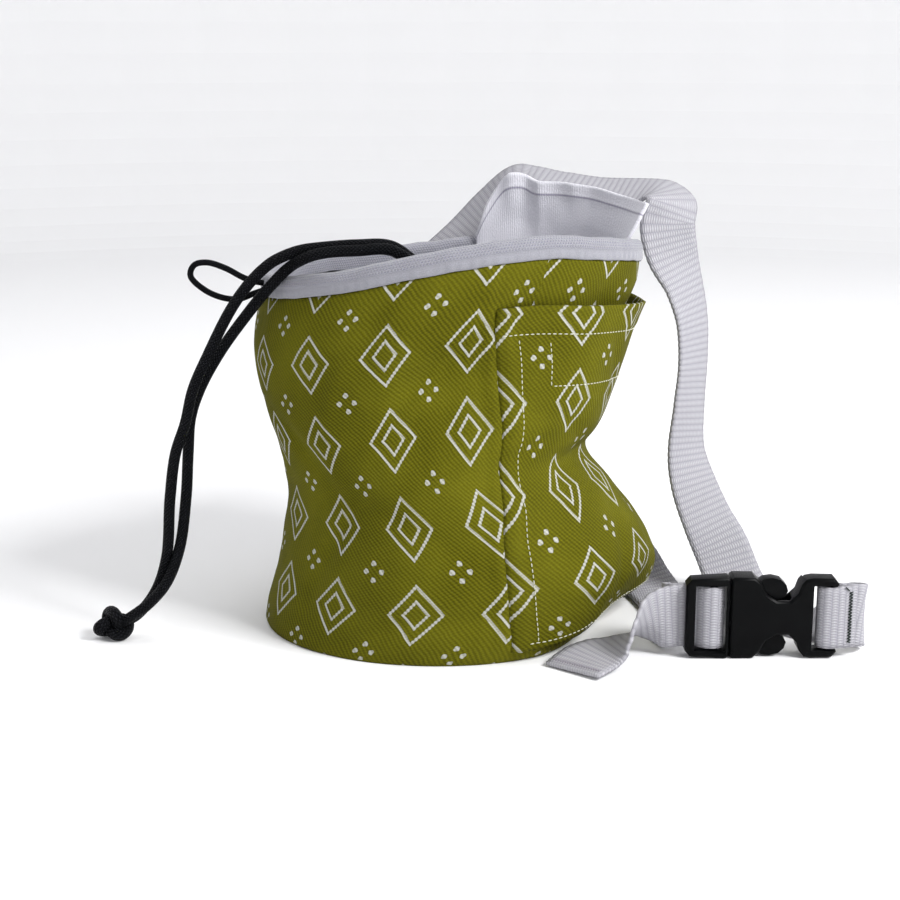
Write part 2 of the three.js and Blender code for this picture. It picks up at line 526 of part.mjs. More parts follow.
const armFront = cavityFront + CLEAR;
const armDepth = cavityBack - cavityFront - 2 * CLEAR;
const ARM = table("x drop", [
  [maleRight - 1, 3.4], [cutFrom - 0.06 * cutLong, 2.7], [cutFrom + 0.075 * cutLong, 1.2],
  [cutFrom + 0.28 * cutLong, 0.7], [cutFrom + 0.49 * cutLong, 1.5], [cutFrom + 0.625 * cutLong, 3.6],
  [cutFrom + 0.67 * cutLong, 6], [cutFrom + 0.6 * cutLong, 8.4], [cutFrom + 0.375 * cutLong, 10.1],
  [cutFrom + 0.06 * cutLong, 9.6], [cutFrom - 0.125 * cutLong, 7], [maleRight - 1, 6.6],
]);
for (const side of [0, 1]) {
  const arm = ARM.map((row) => [row.x, side ? BUCKLE_HEIGHT - row.drop : row.drop]);
  male = male.add(plate(side ? arm.reverse() : arm, armFront, armDepth, 0));
}
male = male.add(block(
  [maleRight - 1, armFront, mid - 2.2], [cutFrom + 0.25 * cutLong, armFront + armDepth, mid + 2.2]));
group.add(fromManifold("buckle_male", male, surface(0x0d0e11, 0.45)));

export default group;
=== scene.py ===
# %% [markdown]
# # Climbing chalk bag
# The imported model gives the frame: every piece below is placed in its coordinates, in metres, with +Z
# up and the floor at Z = 0. The soft pieces are modelled again here with finer folds, and each one
# hides the plain solid that it stands for. Cloth may stand only a little proud of it.

# %% Load the frame
import functools
import math

import bmesh
import bpy
from mathutils import Matrix, Vector, noise


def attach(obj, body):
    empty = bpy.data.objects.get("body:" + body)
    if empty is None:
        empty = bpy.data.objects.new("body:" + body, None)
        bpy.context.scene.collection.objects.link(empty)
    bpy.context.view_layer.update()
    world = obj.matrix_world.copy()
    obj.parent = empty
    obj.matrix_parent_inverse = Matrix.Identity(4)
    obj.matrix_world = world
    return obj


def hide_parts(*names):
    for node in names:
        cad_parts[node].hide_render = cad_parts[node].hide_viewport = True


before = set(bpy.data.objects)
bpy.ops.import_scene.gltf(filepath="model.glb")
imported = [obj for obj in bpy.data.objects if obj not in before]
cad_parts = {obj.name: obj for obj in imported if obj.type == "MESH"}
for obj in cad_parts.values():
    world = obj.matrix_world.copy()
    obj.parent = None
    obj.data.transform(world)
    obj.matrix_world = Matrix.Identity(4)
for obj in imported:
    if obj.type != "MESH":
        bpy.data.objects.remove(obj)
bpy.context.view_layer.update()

MM = 0.001
print("frame with", len(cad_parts), "nodes")

# %% [markdown]
# ## The camera
# A picture is only comparable with a photograph from the same place. The photograph was taken from
# 0.70 m in front of the bag and 0.24 m up, looking a little down with a short telephoto lens, so the
# camera stands there. The lens is given for a 36 mm wide sensor.

# %% Camera at the photograph's place
CAMERA_PLACE = (0, -0.700, 0.240)
CAMERA_DOWN_DEG = 13.75
CAMERA_LENS = 69.48

camera = bpy.data.objects.new("camera", bpy.data.cameras.new("camera"))
camera.location = CAMERA_PLACE
camera.rotation_euler = (math.radians(90 - CAMERA_DOWN_DEG), 0, 0)
camera.data.sensor_width = 36
camera.data.lens = CAMERA_LENS
bpy.context.scene.collection.objects.link(camera)
bpy.context.scene.camera = camera
print("camera lens", CAMERA_LENS, "mm")

# %% [markdown]
# ## Curves through a few points
# Cords, webbing and rims all follow a smooth line through a few chosen points. A centripetal
# Catmull-Rom curve passes through each point without loops or overshoot, also where points lie close
# together. The second helper walks such a curve in equal steps, so that a weave keeps its size.

# %% Curve helpers
def curve_at(points, place):
    """Point of the curve at a place counted in points: 2.5 is halfway from the third to the fourth."""
    last = len(points) - 1
    k = min(int(place), last - 1)
    t = place - k
    inner = [Vector(points[k]), Vector(points[k + 1])]
    before = Vector(points[k - 1]) if k else 2 * inner[0] - inner[1]
    after = Vector(points[k + 2]) if k + 2 <= last else 2 * inner[1] - inner[0]
    p = [before, *inner, after]
    gap = [max((p[i + 1] - p[i]).length, 1e-9) ** 0.5 for i in range(3)]
    slope = [((p[i] - p[i - 1]) / gap[i - 1] - (p[i + 1] - p[i - 1]) / (gap[i - 1] + gap[i])
              + (p[i + 1] - p[i]) / gap[i]) * gap[1] for i in (1, 2)]
    a, b = p[1], p[2]
    return (a + slope[0] * t + (3 * (b - a) - 2 * slope[0] - slope[1]) * t ** 2
            + (2 * (a - b) + slope[0] + slope[1]) * t ** 3)


def equal_places(points, step, fine=40):
    """Places along the curve about one step apart, and the curve's length."""
    count = (len(points) - 1) * fine
    line = [curve_at(points, i / fine) for i in range(count + 1)]
    run = [0.0]
    for a, b in zip(line, line[1:]):
        run.append(run[-1] + (b - a).length)
    steps = max(2, round(run[-1] / step))
    places, k = [], 0
    for i in range(steps + 1):
        want = run[-1] * i / steps
        while k < count - 1 and run[k + 1] < want:
            k += 1
        places.append((k + (want - run[k]) / max(run[k + 1] - run[k], 1e-12)) / fine)
    return places, run[-1]


# %% [markdown]
# ## Cloth made from a grid
# A flat grid is the simplest start for anything woven. Each of its points is moved to where the cloth
# lies, and its UV map keeps the place on the flat cloth in metres, so that prints and weaves can be
# drawn at their real size. A tube is a grid whose two ends are merged.

# %% Piece and grid helpers
def piece(name, mesh, material, slot, *nodes):
    """Object for a finished mesh, smooth, riding on the bag and standing for CAD nodes."""
    data = bpy.data.meshes.new(name)
    for face in mesh.faces:
        face.smooth = True
    mesh.to_mesh(data)
    mesh.free()
    obj = bpy.data.objects.new(name, data)
    bpy.context.scene.collection.objects.link(obj)
    data.materials.append(material)
    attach(obj, "root")
    if nodes:
        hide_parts(*nodes)
    print(name, len(data.polygons), "faces")
    return obj


def cloth_grid(columns, rows, point, size):
    """Grid of cloth: point(u, v) gives the place in millimetres, size the flat cloth in metres."""
    mesh = bmesh.new()
    uv = mesh.loops.layers.uv.new("cloth")
    bmesh.ops.create_grid(mesh, x_segments=columns, y_segments=rows, size=0.5, calc_uvs=False)
    for face in mesh.faces:
        for loop in face.loops:
            loop[uv].uv = ((loop.vert.co.x + 0.5) * size[0], (loop.vert.co.y + 0.5) * size[1])
    for vert in mesh.verts:
        vert.co = Vector(point(vert.co.x + 0.5, vert.co.y + 0.5)) * MM
    bmesh.ops.remove_doubles(mesh, verts=mesh.verts[:], dist=0.02 * MM)
    bmesh.ops.recalc_face_normals(mesh, faces=mesh.faces[:])
    return mesh


def thicken(obj, wall, offset=0.0):
    """Gives the cloth its wall in millimetres, inward with an offset of -1 and both ways with 0."""
    solid = obj.modifiers.new("wall", "SOLIDIFY")
    solid.thickness = wall * MM
    solid.offset = offset
    solid.use_even_offset = False
    return obj


# %% [markdown]
# ## Nodes and colours
# Every material below is a small node tree. One function adds a node with its settings and what feeds
# it, one works through a short list of sums, and one turns a hex colour, which is how colours are
# given, into the linear light that the renderer counts in.

# %% Node helpers
def linear(colour):
    """Linear colour of an sRGB hex value."""
    parts = [int(colour[i:i + 2], 16) / 255 for i in (1, 3, 5)]
    return [c / 12.92 if c <= 0.04045 else ((c + 0.055) / 1.055) ** 2.4 for c in parts] + [1]


def add(tree, kind, inputs, **settings):
    """Node of that kind with its settings, each input linked to a socket or set to a value."""
    made = tree.nodes.new(kind)
    for name, value in settings.items():
        setattr(made, name, value)
    for name, value in inputs.items():
        if isinstance(value, bpy.types.NodeSocket):
            tree.links.new(value, made.inputs[name])
        else:
            made.inputs[name].default_value = value
    return made


def sums(tree, known, steps):
    """Works through rows of (result, operation, inputs), where an input is a number or a name."""
    for result, operation, *inputs in steps:
        given = {i: known.get(x, x) if isinstance(x, str) else x for i, x in enumerate(inputs)}
        known[result] = add(tree, "ShaderNodeMath", given, operation=operation).outputs[0]
    return known


def new_material(name, roughness, **sockets):
    """Material with a Principled shader whose own sockets are set."""
    made = bpy.data.materials.new(name)
    made.use_nodes = True
    tree = made.node_tree
    tree.nodes.clear()
    values = {"Roughness": roughness, **{key.replace("_", " "): value for key, value in sockets.items()}}
    shader = add(tree, "ShaderNodeBsdfPrincipled", values)
    add(tree, "ShaderNodeOutputMaterial", {"Surface": shader.outputs[0]})
    return made, tree, shader


def cloth_place(tree):
    """Place on the flat cloth in millimetres, as the sums' x and y, and the UV vector in metres."""
    place = add(tree, "ShaderNodeUVMap", {}, uv_map="cloth").outputs[0]
    split = add(tree, "ShaderNodeSeparateXYZ", {0: place})
    known = sums(tree, {"u": split.outputs[0], "v": split.outputs[1]}, [
        ("x", "MULTIPLY", "u", 1000.0),
        ("y", "MULTIPLY", "v", 1000.0),
    ])
    return known, place


# %% [markdown]
# ## The bag's outline
# The bag is a soft tube of cloth, so its shape is a stack of ovals: how far it reaches left, right,
# front and back at each level, with the height of the rim round the mouth, the turned-up corner of
# the base, and a list of dents. A second list adds the short creases that a used bag of twill shows.
# Angles run round from the right end, 270 faces the viewer, and levels run from the base to the rim.

# %% Outline tables and the body's point function
BODY_TURN = math.radians(12)
BODY_WIDTH, BODY_DEPTH, RIM_HEIGHT = 160, 140, 148


def table(columns, rows):
    """Rows as dictionaries with the columns' names."""
    return [dict(zip(columns.split(), row)) for row in rows]


LEVELS = table("level left right front back", [
    (0.00, -0.485, 0.494, -0.5, 0.457), (0.06, -0.478, 0.537, -0.507, 0.479),
    (0.17, -0.45, 0.531, -0.5, 0.486), (0.28, -0.431, 0.481, -0.486, 0.471),
    (0.38, -0.425, 0.412, -0.471, 0.443), (0.49, -0.438, 0.362, -0.45, 0.414),
    (0.60, -0.463, 0.388, -0.429, 0.4), (0.72, -0.487, 0.412, -0.414, 0.393),
    (0.84, -0.497, 0.438, -0.407, 0.393), (0.94, -0.487, 0.478, -0.4, 0.393),
    (1.00, -0.469, 0.487, -0.393, 0.386),
])
RIM_LINE = table("angle value", [
    (0, 0.985), (35, 0.995), (65, 0.975), (95, 0.945), (135, 0.935), (170, 0.925), (195, 0.925),
    (225, 0.955), (250, 1.0), (270, 1.03), (290, 1.042), (312, 1.025), (335, 1.005),
])
BASE_LIFT = table("angle value", [
    (0, 0.05), (40, 0.021), (90, 0), (180, 0), (265, 0), (295, 0.011), (325, 0.05),
])
DENTS = table("angle level depth wide tall", [
    (268, 0.70, 0.046, 17, 0.10), (250, 0.60, 0.029, 16, 0.09), (290, 0.86, 0.021, 12, 0.10),
    (302, 0.46, 0.025, 20, 0.05), (325, 0.48, 0.032, 20, 0.05), (352, 0.48, 0.021, 18, 0.06),
    (318, 0.90, 0.018, 10, 0.07), (322, 0.02, 0.079, 24, 0.13), (215, 0.42, 0.021, 20, 0.12),
    (240, 0.22, -0.014, 22, 0.12), (285, 0.24, -0.014, 26, 0.12), (160, 0.55, 0.025, 24, 0.14),
    (60, 0.50, 0.032, 22, 0.12), (110, 0.30, -0.018, 30, 0.16), (100, 0.74, 0.018, 20, 0.12),
])
CREASES = table("angle level turn long wide depth", [
    (258, 0.74, 36, 24, 4.5, 2.2), (250, 0.65, 32, 20, 3.5, -1.2), (266, 0.80, 44, 14, 3.0, -1.0),
    (290, 0.52, 20, 26, 3.2, 1.4), (300, 0.45, 12, 24, 3.5, -0.9), (312, 0.58, -25, 18, 3.0, 0.8),
    (330, 0.50, 5, 20, 3.0, 1.2), (240, 0.88, 70, 14, 4.0, 0.8), (275, 0.90, 80, 12, 3.0, 0.9),
    (205, 0.60, -40, 22, 4.5, 1.6), (215, 0.30, 60, 26, 4.5, 1.2), (250, 0.12, 10, 30, 4.0, 0.9),
    (232, 0.42, -15, 22, 4.0, 1.3), (275, 0.33, 35, 24, 4.0, -0.9), (315, 0.22, 65, 24, 4.0, 1.2),
    (300, 0.12, -20, 20, 3.5, 0.7), (190, 0.45, 20, 18, 4.0, 1.0), (345, 0.30, 70, 20, 4.0, 0.8),
    (20, 0.50, 10, 24, 4.0, 1.2), (50, 0.60, -30, 24, 4.0, 1.0), (80, 0.35, 40, 28, 4.0, 1.0),
    (120, 0.50, -20, 28, 4.0, 1.2), (140, 0.30, 60, 24, 4.0, 0.9), (165, 0.65, 25, 22, 4.0, 1.0),
    (95, 0.15, 5, 30, 4.0, 0.7), (228, 0.74, 58, 18, 3.2, -0.7), (330, 0.72, -60, 18, 3.5, 0.8),
])
MM_PER_DEGREE = 1.25


def smooth_at(rows, key, column, at):
    """Value of a column at a place in a table, smooth between its rows."""
    last = len(rows) - 1
    k = max(0, min(last - 1, sum(row[key] <= at for row in rows) - 1))
    span = rows[k + 1][key] - rows[k][key]
    t = max(0.0, min(1.0, (at - rows[k][key]) / span))

    def slope(i):
        low, high = rows[max(0, i - 1)], rows[min(last, i + 1)]
        return (high[column] - low[column]) / (high[key] - low[key]) * span

    a, b, sa, sb = rows[k][column], rows[k + 1][column], slope(k), slope(k + 1)
    return a + sa * t + (3 * (b - a) - 2 * sa - sb) * t ** 2 + (2 * (a - b) + sa + sb) * t ** 3


def once_round(rows):
    """The rows before, on and after one turn, so that a value is smooth over the turn's end."""
    return [{"angle": row["angle"] + 360 * k, "value": row["value"]} for k in (-1, 0, 1) for row in rows]


RIM_ROUND, LIFT_ROUND = once_round(RIM_LINE), once_round(BASE_LIFT)


def bell(x):
    """Bell of height 1."""
    return math.exp(-x * x)


def angle_gap(a, b):
    """Difference of two angles, from -180 to 180."""
    return (a - b + 180) % 360 - 180


@functools.lru_cache(maxsize=None)
def outline(level):
    """Furthest left, right, front and back of the body at a level, in millimetres."""
    sizes = {"left": BODY_WIDTH, "right": BODY_WIDTH, "front": BODY_DEPTH, "back": BODY_DEPTH}
    return [size * smooth_at(LEVELS, "level", column, level) for column, size in sizes.items()]


@functools.lru_cache(maxsize=None)
def rim_and_lift(angle):
    """Height of the rim and of the base's edge at an angle, in millimetres."""
    return (RIM_HEIGHT * smooth_at(RIM_ROUND, "angle", "value", angle % 360),
            BODY_DEPTH * max(0, smooth_at(LIFT_ROUND, "angle", "value", angle % 360)))


@functools.lru_cache(maxsize=None)
def hollow(angle, level):
    """How deep the dents and creases are at a place on the body, in millimetres."""
    deep = 0.0
    for row in DENTS:
        across = angle_gap(angle, row["angle"]) / row["wide"]
        up = (level - row["level"]) / row["tall"]
        deep += row["depth"] * BODY_DEPTH * bell(across) * bell(up)
    for row in CREASES:
        x = angle_gap(angle, row["angle"]) * MM_PER_DEGREE
        y = (level - row["level"]) * RIM_HEIGHT
        turn = math.radians(row["turn"])
        along = x * math.cos(turn) + y * math.sin(turn)
        across = y * math.cos(turn) - x * math.sin(turn) + 0.006 * along ** 2
        deep += row["depth"] * bell(along / row["long"]) * bell(across / row["wide"])
    edge = max(0.0, min(1.0, (1.0 - level) / 0.06)) * max(0.0, min(1.0, level / 0.05))
    spot = Vector((math.cos(math.radians(angle)) * 3.4, math.sin(math.radians(angle)) * 3.4, level * 7))
    return deep + edge * (0.55 * noise.noise(spot) + 0.28 * noise.noise(spot * 2.7))


def body_point(angle, level, inset=0.0, rise=0.0):
    """Point of the body's outer face, moved inward by inset and up by rise, in millimetres."""
    left, right, front, back = outline(level)
    out = Vector((math.cos(math.radians(angle)) * (right - left) / 2,
                  math.sin(math.radians(angle)) * (back - front) / 2))
    long = out.length - hollow(angle, level) - inset
    way = math.atan2(out.y, out.x) + BODY_TURN
    rim, lift = rim_and_lift(angle)
    return Vector(((left + right) / 2 + long * math.cos(way), (front + back) / 2 + long * math.sin(way),
                   lift * max(0, 1 - level / 0.2) + level * rim + rise))


print("body", len(LEVELS), "levels,", len(DENTS), "dents,", len(CREASES), "creases")

# %% [markdown]
# ## Colour, blots and relief
# Cloth is never one flat colour. Noise gives soft blots of a chosen size, a mix lays one colour over
# another by such a pattern, and a bump node turns a pattern into relief that the light can catch, which
# is much cheaper than real threads.

# %% Colour and relief helpers
def mix(tree, factor, a, b, blend="MIX"):
    """Mix of two colours."""
    made = add(tree, "ShaderNodeMix", {0: factor, 6: a, 7: b}, data_type="RGBA", blend_type=blend)
    return made.outputs[2]


def noise_at(tree, place, size, detail=2.0):
    """Noise with blots of about a size in millimetres, on a place in metres."""
    made = add(tree, "ShaderNodeTexNoise", {"Vector": place, "Scale": 1 / (size * MM), "Detail": detail})
    return made.outputs[0]


def bump_of(tree, shader, height, depth):
    """Gives the shader a relief from a height of 0 to 1 and a depth in millimetres."""
    made = add(tree, "ShaderNodeBump", {"Height": height, "Distance": depth * MM, "Strength": 1.0})
    tree.links.new(made.outputs[0], shader.inputs["Normal"])


def colour_of(tree, shader, colour):
    """Gives the shader its colour from a mix."""
    tree.links.new(colour, shader.inputs["Base Color"])


def object_place(tree):
    """Place in the object's own coordinates, in metres."""
    return add(tree, "ShaderNodeTexCoord", {}).outputs["Object"]


# %% [markdown]
# ## Twill weave
# The shell and the pocket are olive cotton twill. Twill shows a fine diagonal ridge where each thread
# floats over several others, here one ridge in 1.45 mm. The ridge is a wave across the slant, and a
# shorter wave along it marks the single threads. A little noise in the first keeps the ridges uneven.

# %% Twill weave
TWILL_PITCH, FLOAT_PITCH, TWILL_SLANT = 1.45, 1.1, math.radians(41)

# Cotton twill, dyed olive: a matt diagonal rib that breaks the light into fine dark and pale lines
twill, tree, shader = new_material("cotton_twill_print", 0.9, Specular_IOR_Level=0.12)
known, place = cloth_place(tree)
uneven = noise_at(tree, place, 5)
sums(tree, known, [
    ("step", "MULTIPLY", "x", 2 * math.pi * math.cos(TWILL_SLANT) / TWILL_PITCH),
    ("slanted", "MULTIPLY_ADD", "y", 2 * math.pi * math.sin(TWILL_SLANT) / TWILL_PITCH, "step"),
    ("phase", "MULTIPLY_ADD", uneven, 5.0, "slanted"),
    ("wave", "SINE", "phase"),
    ("ridge", "MULTIPLY_ADD", "wave", 0.5, 0.5),
    ("along", "MULTIPLY", "x", -2 * math.pi * math.sin(TWILL_SLANT) / FLOAT_PITCH),
    ("along_phase", "MULTIPLY_ADD", "y", 2 * math.pi * math.cos(TWILL_SLANT) / FLOAT_PITCH, "along"),
    ("float_phase", "MULTIPLY_ADD", "phase", 0.5, "along_phase"),
    ("float_wave", "SINE", "float_phase"),
    ("height", "MULTIPLY_ADD", "float_wave", 0.22, "ridge"),
])
bump_of(tree, shader, known["height"], 0.10)
print("twill with one ridge in", TWILL_PITCH, "mm")

# %% [markdown]
# ## Screen print
# A pale print of lozenges, with four dots between them, is repeated over the cloth. Two folding waves
# bring every place back into one repeat, where the distance to the nearest line or dot is worked out in
# millimetres. The ink lies mostly on the tops of the ridges, so its lines look like twisted rope.

# %% Print and colours of the twill
OLIVE, OLIVE_DARK, OLIVE_WORN, PRINT = "#5e5c06", "#424002", "#686610", "#b0b0a9"
PRINT_PITCH = 33.0
LOZENGES = {"big_line": (9.6, 11.6), "small_line": (4.4, 5.6)}
DOT_OUT, DOT_RADIUS, LINE_HALF = 3.2, 0.55, 0.60

sums(tree, known, [
    ("ax", "PINGPONG", "x", PRINT_PITCH / 2),
    ("y_moved", "ADD", "y", 8.0),
    ("ay", "PINGPONG", "y_moved", PRINT_PITCH / 2),
])
for line, (wide, tall) in LOZENGES.items():
    sums(tree, known, [
        ("over_x", "DIVIDE", "ax", wide),
        ("over", "MULTIPLY_ADD", "ay", 1 / tall, "over_x"),
        ("gap", "SUBTRACT", "over", 1.0),
        ("gap_abs", "ABSOLUTE", "gap"),
        (line, "MULTIPLY", "gap_abs", wide * tall / math.hypot(wide, tall)),
    ])
sums(tree, known, [
    ("line", "MINIMUM", "big_line", "small_line"),
    ("cx", "SUBTRACT", PRINT_PITCH / 2, "ax"),
    ("cy", "SUBTRACT", PRINT_PITCH / 2, "ay"),
    ("turned_x", "ADD", "cx", "cy"),
    ("turned_y", "SUBTRACT", "cx", "cy"),
    ("turned_y_abs", "ABSOLUTE", "turned_y"),
    ("qx", "SUBTRACT", "turned_x", DOT_OUT),
    ("qx2", "MULTIPLY", "qx", "qx"),
    ("qy", "SUBTRACT", "turned_y_abs", DOT_OUT),
    ("q2", "MULTIPLY_ADD", "qy", "qy", "qx2"),
    ("q_root", "SQRT", "q2"),
    ("dot", "MULTIPLY_ADD", "q_root", math.sqrt(0.5), -DOT_RADIUS),
    ("near", "MINIMUM", "line", "dot"),
    ("ragged", "MULTIPLY_ADD", "wave", -0.10, "near"),
    ("inside", "SUBTRACT", LINE_HALF, "ragged"),
    ("sharp", "MULTIPLY", "inside", 5.0),
    ("sharp_low", "MAXIMUM", "sharp", 0.0),
    ("mask", "MINIMUM", "sharp_low", 1.0),
    ("cover", "MULTIPLY_ADD", "height", 0.36, 0.62),
    ("ink", "MULTIPLY", "mask", "cover"),
    ("ink_top", "MINIMUM", "ink", 1.0),
    ("worn", "MULTIPLY_ADD", noise_at(tree, place, 30), 1.4, -0.5),
    ("worn_top", "MINIMUM", "worn", 0.5),
    ("worn_part", "MAXIMUM", "worn_top", 0.0),
    ("speck", "MULTIPLY_ADD", noise_at(tree, place, 0.8, 3.0), 0.9, 0.5),
])
specks = add(tree, "ShaderNodeCombineXYZ", {i: known["speck"] for i in range(3)}).outputs[0]
cloth = mix(tree, known["height"], linear(OLIVE_DARK), linear(OLIVE))
cloth = mix(tree, known["worn_part"], cloth, linear(OLIVE_WORN))
cloth = mix(tree, 0.6, cloth, specks, "MULTIPLY")
colour_of(tree, shader, mix(tree, known["ink_top"], cloth, linear(PRINT)))
print("twill with", len(tree.nodes), "nodes")

# %% [markdown]
# ## Shell
# The shell is one grid that starts in the middle of the base, runs out to its edge and climbs the wall
# to the rim. The wall's thickness is added inward, so that the outline stays where it was measured.
# Beside the pocket's seam the cloth is folded under, which lifts it a little.

# %% Shell
POCKET_SEAM = table("level angle", [
    (0, 275.5), (0.15, 271), (0.3, 272.5), (0.4, 278), (0.5, 282.4), (0.7, 281.6), (0.885, 277.4), (1, 273.5),
])
CUP_START = 290
BASE_RADIUS = 70
CUP_HEIGHT = BASE_RADIUS + RIM_HEIGHT
SHELL_WALL, LINING_WALL = 1.6, 1.5


def seam_angle(level):
    """Angle of the seam where the pocket starts."""
    return smooth_at(POCKET_SEAM, "level", "angle", level)


def cup_level(run):
    """Level on the wall at a run in millimetres from the middle of the base."""
    return max(0.0, run - BASE_RADIUS) / RIM_HEIGHT


def cup_point(angle, run, inset, foot):
    """Point of a cup at a run from the middle of its base, over the edge and up."""
    level = cup_level(run)
    if level > 0:
        place = body_point(angle, level, inset)
        place.z = max(place.z, foot)
        return place
    left, right, front, back = outline(0)
    centre = Vector(((left + right) / 2, (front + back) / 2, 0))
    edge = body_point(angle, 0, inset)
    share = run / BASE_RADIUS
    place = centre.lerp(edge, share)
    place.z = foot + max(0.0, edge.z - foot) * max(0.0, (share - 0.84) / 0.16)
    return place


def shell_point(u, v):
    """The shell goes round from behind the pocket's seam."""
    angle = CUP_START + 360 * u
    run = CUP_HEIGHT * v
    level = cup_level(run)
    lip = angle_gap(seam_angle(level), angle) * MM_PER_DEGREE
    ridge = (0.9 * bell((lip - 2.2) / 2.0) - 0.25 * bell((lip - 7) / 1.2)) * min(1.0, level * 12)
    return cup_point(angle, run, -ridge if lip > 0 else 0.0, 0.02)


shell = piece("shell", cloth_grid(240, 110, shell_point, (0.452, CUP_HEIGHT * MM)), twill,
              "print_twill", "bag_shell")
thicken(shell, SHELL_WALL, -1.0)

# %% [markdown]
# ## Fleece lining
# Chalk bags are lined with brushed fleece, which holds the chalk. Little of it shows, only a sliver
# over the rim and the well inside. It follows the shell a little inside it, and its nap is a soft,
# uneven relief with a sheen at the edges.

# %% Fleece material and lining
# Brushed polyester fleece: a thick soft nap without threads, bluish white and very matt
fleece, tree, shader = new_material("brushed_fleece", 0.95, Sheen_Weight=0.35, Sheen_Roughness=0.6)
known, place = cloth_place(tree)
nap = noise_at(tree, place, 1.1, 4.0)
sums(tree, known, [("tint", "MULTIPLY", noise_at(tree, place, 14), 0.4)])
pale = mix(tree, nap, linear("#9fa2b2"), linear("#c9ccd6"))
colour_of(tree, shader, mix(tree, known["tint"], pale, linear("#b4b6c4")))
bump_of(tree, shader, nap, 0.5)


def lining_point(u, v):
    """The lining stops at the same height as the shell."""
    return cup_point(CUP_START + 360 * u, CUP_HEIGHT * v, 2.0, 2.5)


lining = piece("lining", cloth_grid(160, 74, lining_point, (0.44, CUP_HEIGHT * MM)), fleece, "fleece",
               "fleece_lining")
thicken(lining, LINING_WALL, -1.0)

# %% [markdown]
# ## Knitted rim band
# A strip of brushed knit is folded over the mouth and sewn down below it. It is a ring with a rounded
# section. The sewing thread pulls small puckers into its lower edge, and above them run fine rows of
# knit with violet specks, as a tweed yarn gives.

# %% Rim band
BAND_HEIGHT, BAND_WALL = 8.6, 5.8
BAND_SECTION = [(0.10, -0.02), (0.20, 0.08), (0.24, 0.30), (0.22, 0.66), (0.08, 0.90), (-0.26, 1.0),
                (-0.60, 0.93), (-0.78, 0.70), (-0.80, 0.34), (-0.72, 0.04)]
SECTION_LINE = [(0, out * BAND_WALL, up * BAND_HEIGHT) for out, up in BAND_SECTION]
section_places, section_run = equal_places(SECTION_LINE, 0.6)


def band_point(u, v):
    """Round the mouth from its back, and over the band from its outer lower edge to its inner one."""
    angle = 100 + 360 * u
    section = curve_at(SECTION_LINE, section_places[round(v * (len(section_places) - 1))])
    low = bell((section.z - 1.6) / 1.5) if section.y > 0 else 0.0
    pucker = 0.32 * low * (0.6 + 0.8 * noise.noise(Vector((0, 0, angle * 0.9))) + 0.5 * math.sin(angle * 1.9))
    soft = 0.35 * noise.noise(Vector((math.cos(math.radians(angle)) * 9, math.sin(math.radians(angle)) * 9,
                                      v * 4)))
    groove = 0.35 * bell((section.z - 3.3) / 0.5) if section.y > 0 else 0.0
    return body_point(round(angle, 4), 1, -(section.y + soft - pucker - groove), section.z + soft)


# %% [markdown]
# ### The band's knit
# The strip is knitted in rows of small loops, and neighbouring rows are moved by half a loop. Only the
# upper part of the band shows them, because below it the cloth is drawn smooth by the sewing.

# %% Knit material and the band
KNIT_ROW, KNIT_LOOP = 1.05, 1.15

# Tweed knit: rows of small loops in a pale lilac yarn with darker violet specks
knit, tree, shader = new_material("tweed_knit", 0.93, Sheen_Weight=0.3, Sheen_Roughness=0.5)
known, place = cloth_place(tree)
sums(tree, known, [
    ("rows", "MULTIPLY", "y", 2 * math.pi / KNIT_ROW),
    ("row_wave", "SINE", "rows"),
    ("row_id", "MULTIPLY", "y", 1 / KNIT_ROW),
    ("row_floor", "FLOOR", "row_id"),
    ("shift", "MULTIPLY", "row_floor", math.pi),
    ("loops", "MULTIPLY_ADD", "x", 2 * math.pi / KNIT_LOOP, "shift"),
    ("loop_wave", "SINE", "loops"),
    ("both", "MULTIPLY", "row_wave", "loop_wave"),
    ("knot", "MULTIPLY_ADD", "both", 0.3, 0.5),
    ("knot_height", "MULTIPLY_ADD", "row_wave", 0.2, "knot"),
    ("from_strip", "SUBTRACT", "y", 4.4),
    ("strip", "MULTIPLY", "from_strip", 2.2),
    ("strip_low", "MAXIMUM", "strip", 0.0),
    ("upper", "MINIMUM", "strip_low", 1.0),
    ("height", "MULTIPLY", "knot_height", "upper"),
    ("spot", "SUBTRACT", 0.34, "height"),
    ("spot_low", "MAXIMUM", "spot", 0.0),
    ("spot_gain", "MULTIPLY", "spot_low", 3.2),
    ("spot_upper", "MULTIPLY", "spot_gain", "upper"),
])
fuzz = noise_at(tree, place, 0.5, 3.0)
blots = noise_at(tree, place, 2.2)
sums(tree, known, [
    ("blot", "MULTIPLY_ADD", blots, 2.2, -0.6),
    ("blot_low", "MAXIMUM", "blot", 0.0),
    ("violet", "MULTIPLY", "spot_upper", "blot_low"),
    ("violet_top", "MINIMUM", "violet", 0.85),
    ("relief", "MULTIPLY_ADD", fuzz, 0.35, "height"),
])
yarn = mix(tree, fuzz, linear("#74747c"), linear("#9d9da4"))
colour_of(tree, shader, mix(tree, known["violet_top"], yarn, linear("#55507a")))
bump_of(tree, shader, known["relief"], 0.34)
band = piece("rim_binding", cloth_grid(420, len(section_places) - 1, band_point, (0.45, section_run * MM)),
             knit, "fleece_rib", "rim_band")
thicken(band, 0.5, -1.0)

# %% [markdown]
# ## Pocket
# A second panel of the same twill lies over the right side, sewn along its left edge, its foot and its
# far end. It is open at the top, where it gapes. Its top is a hem of two layers, so it is thicker
# there, and a dark gap shows above it.

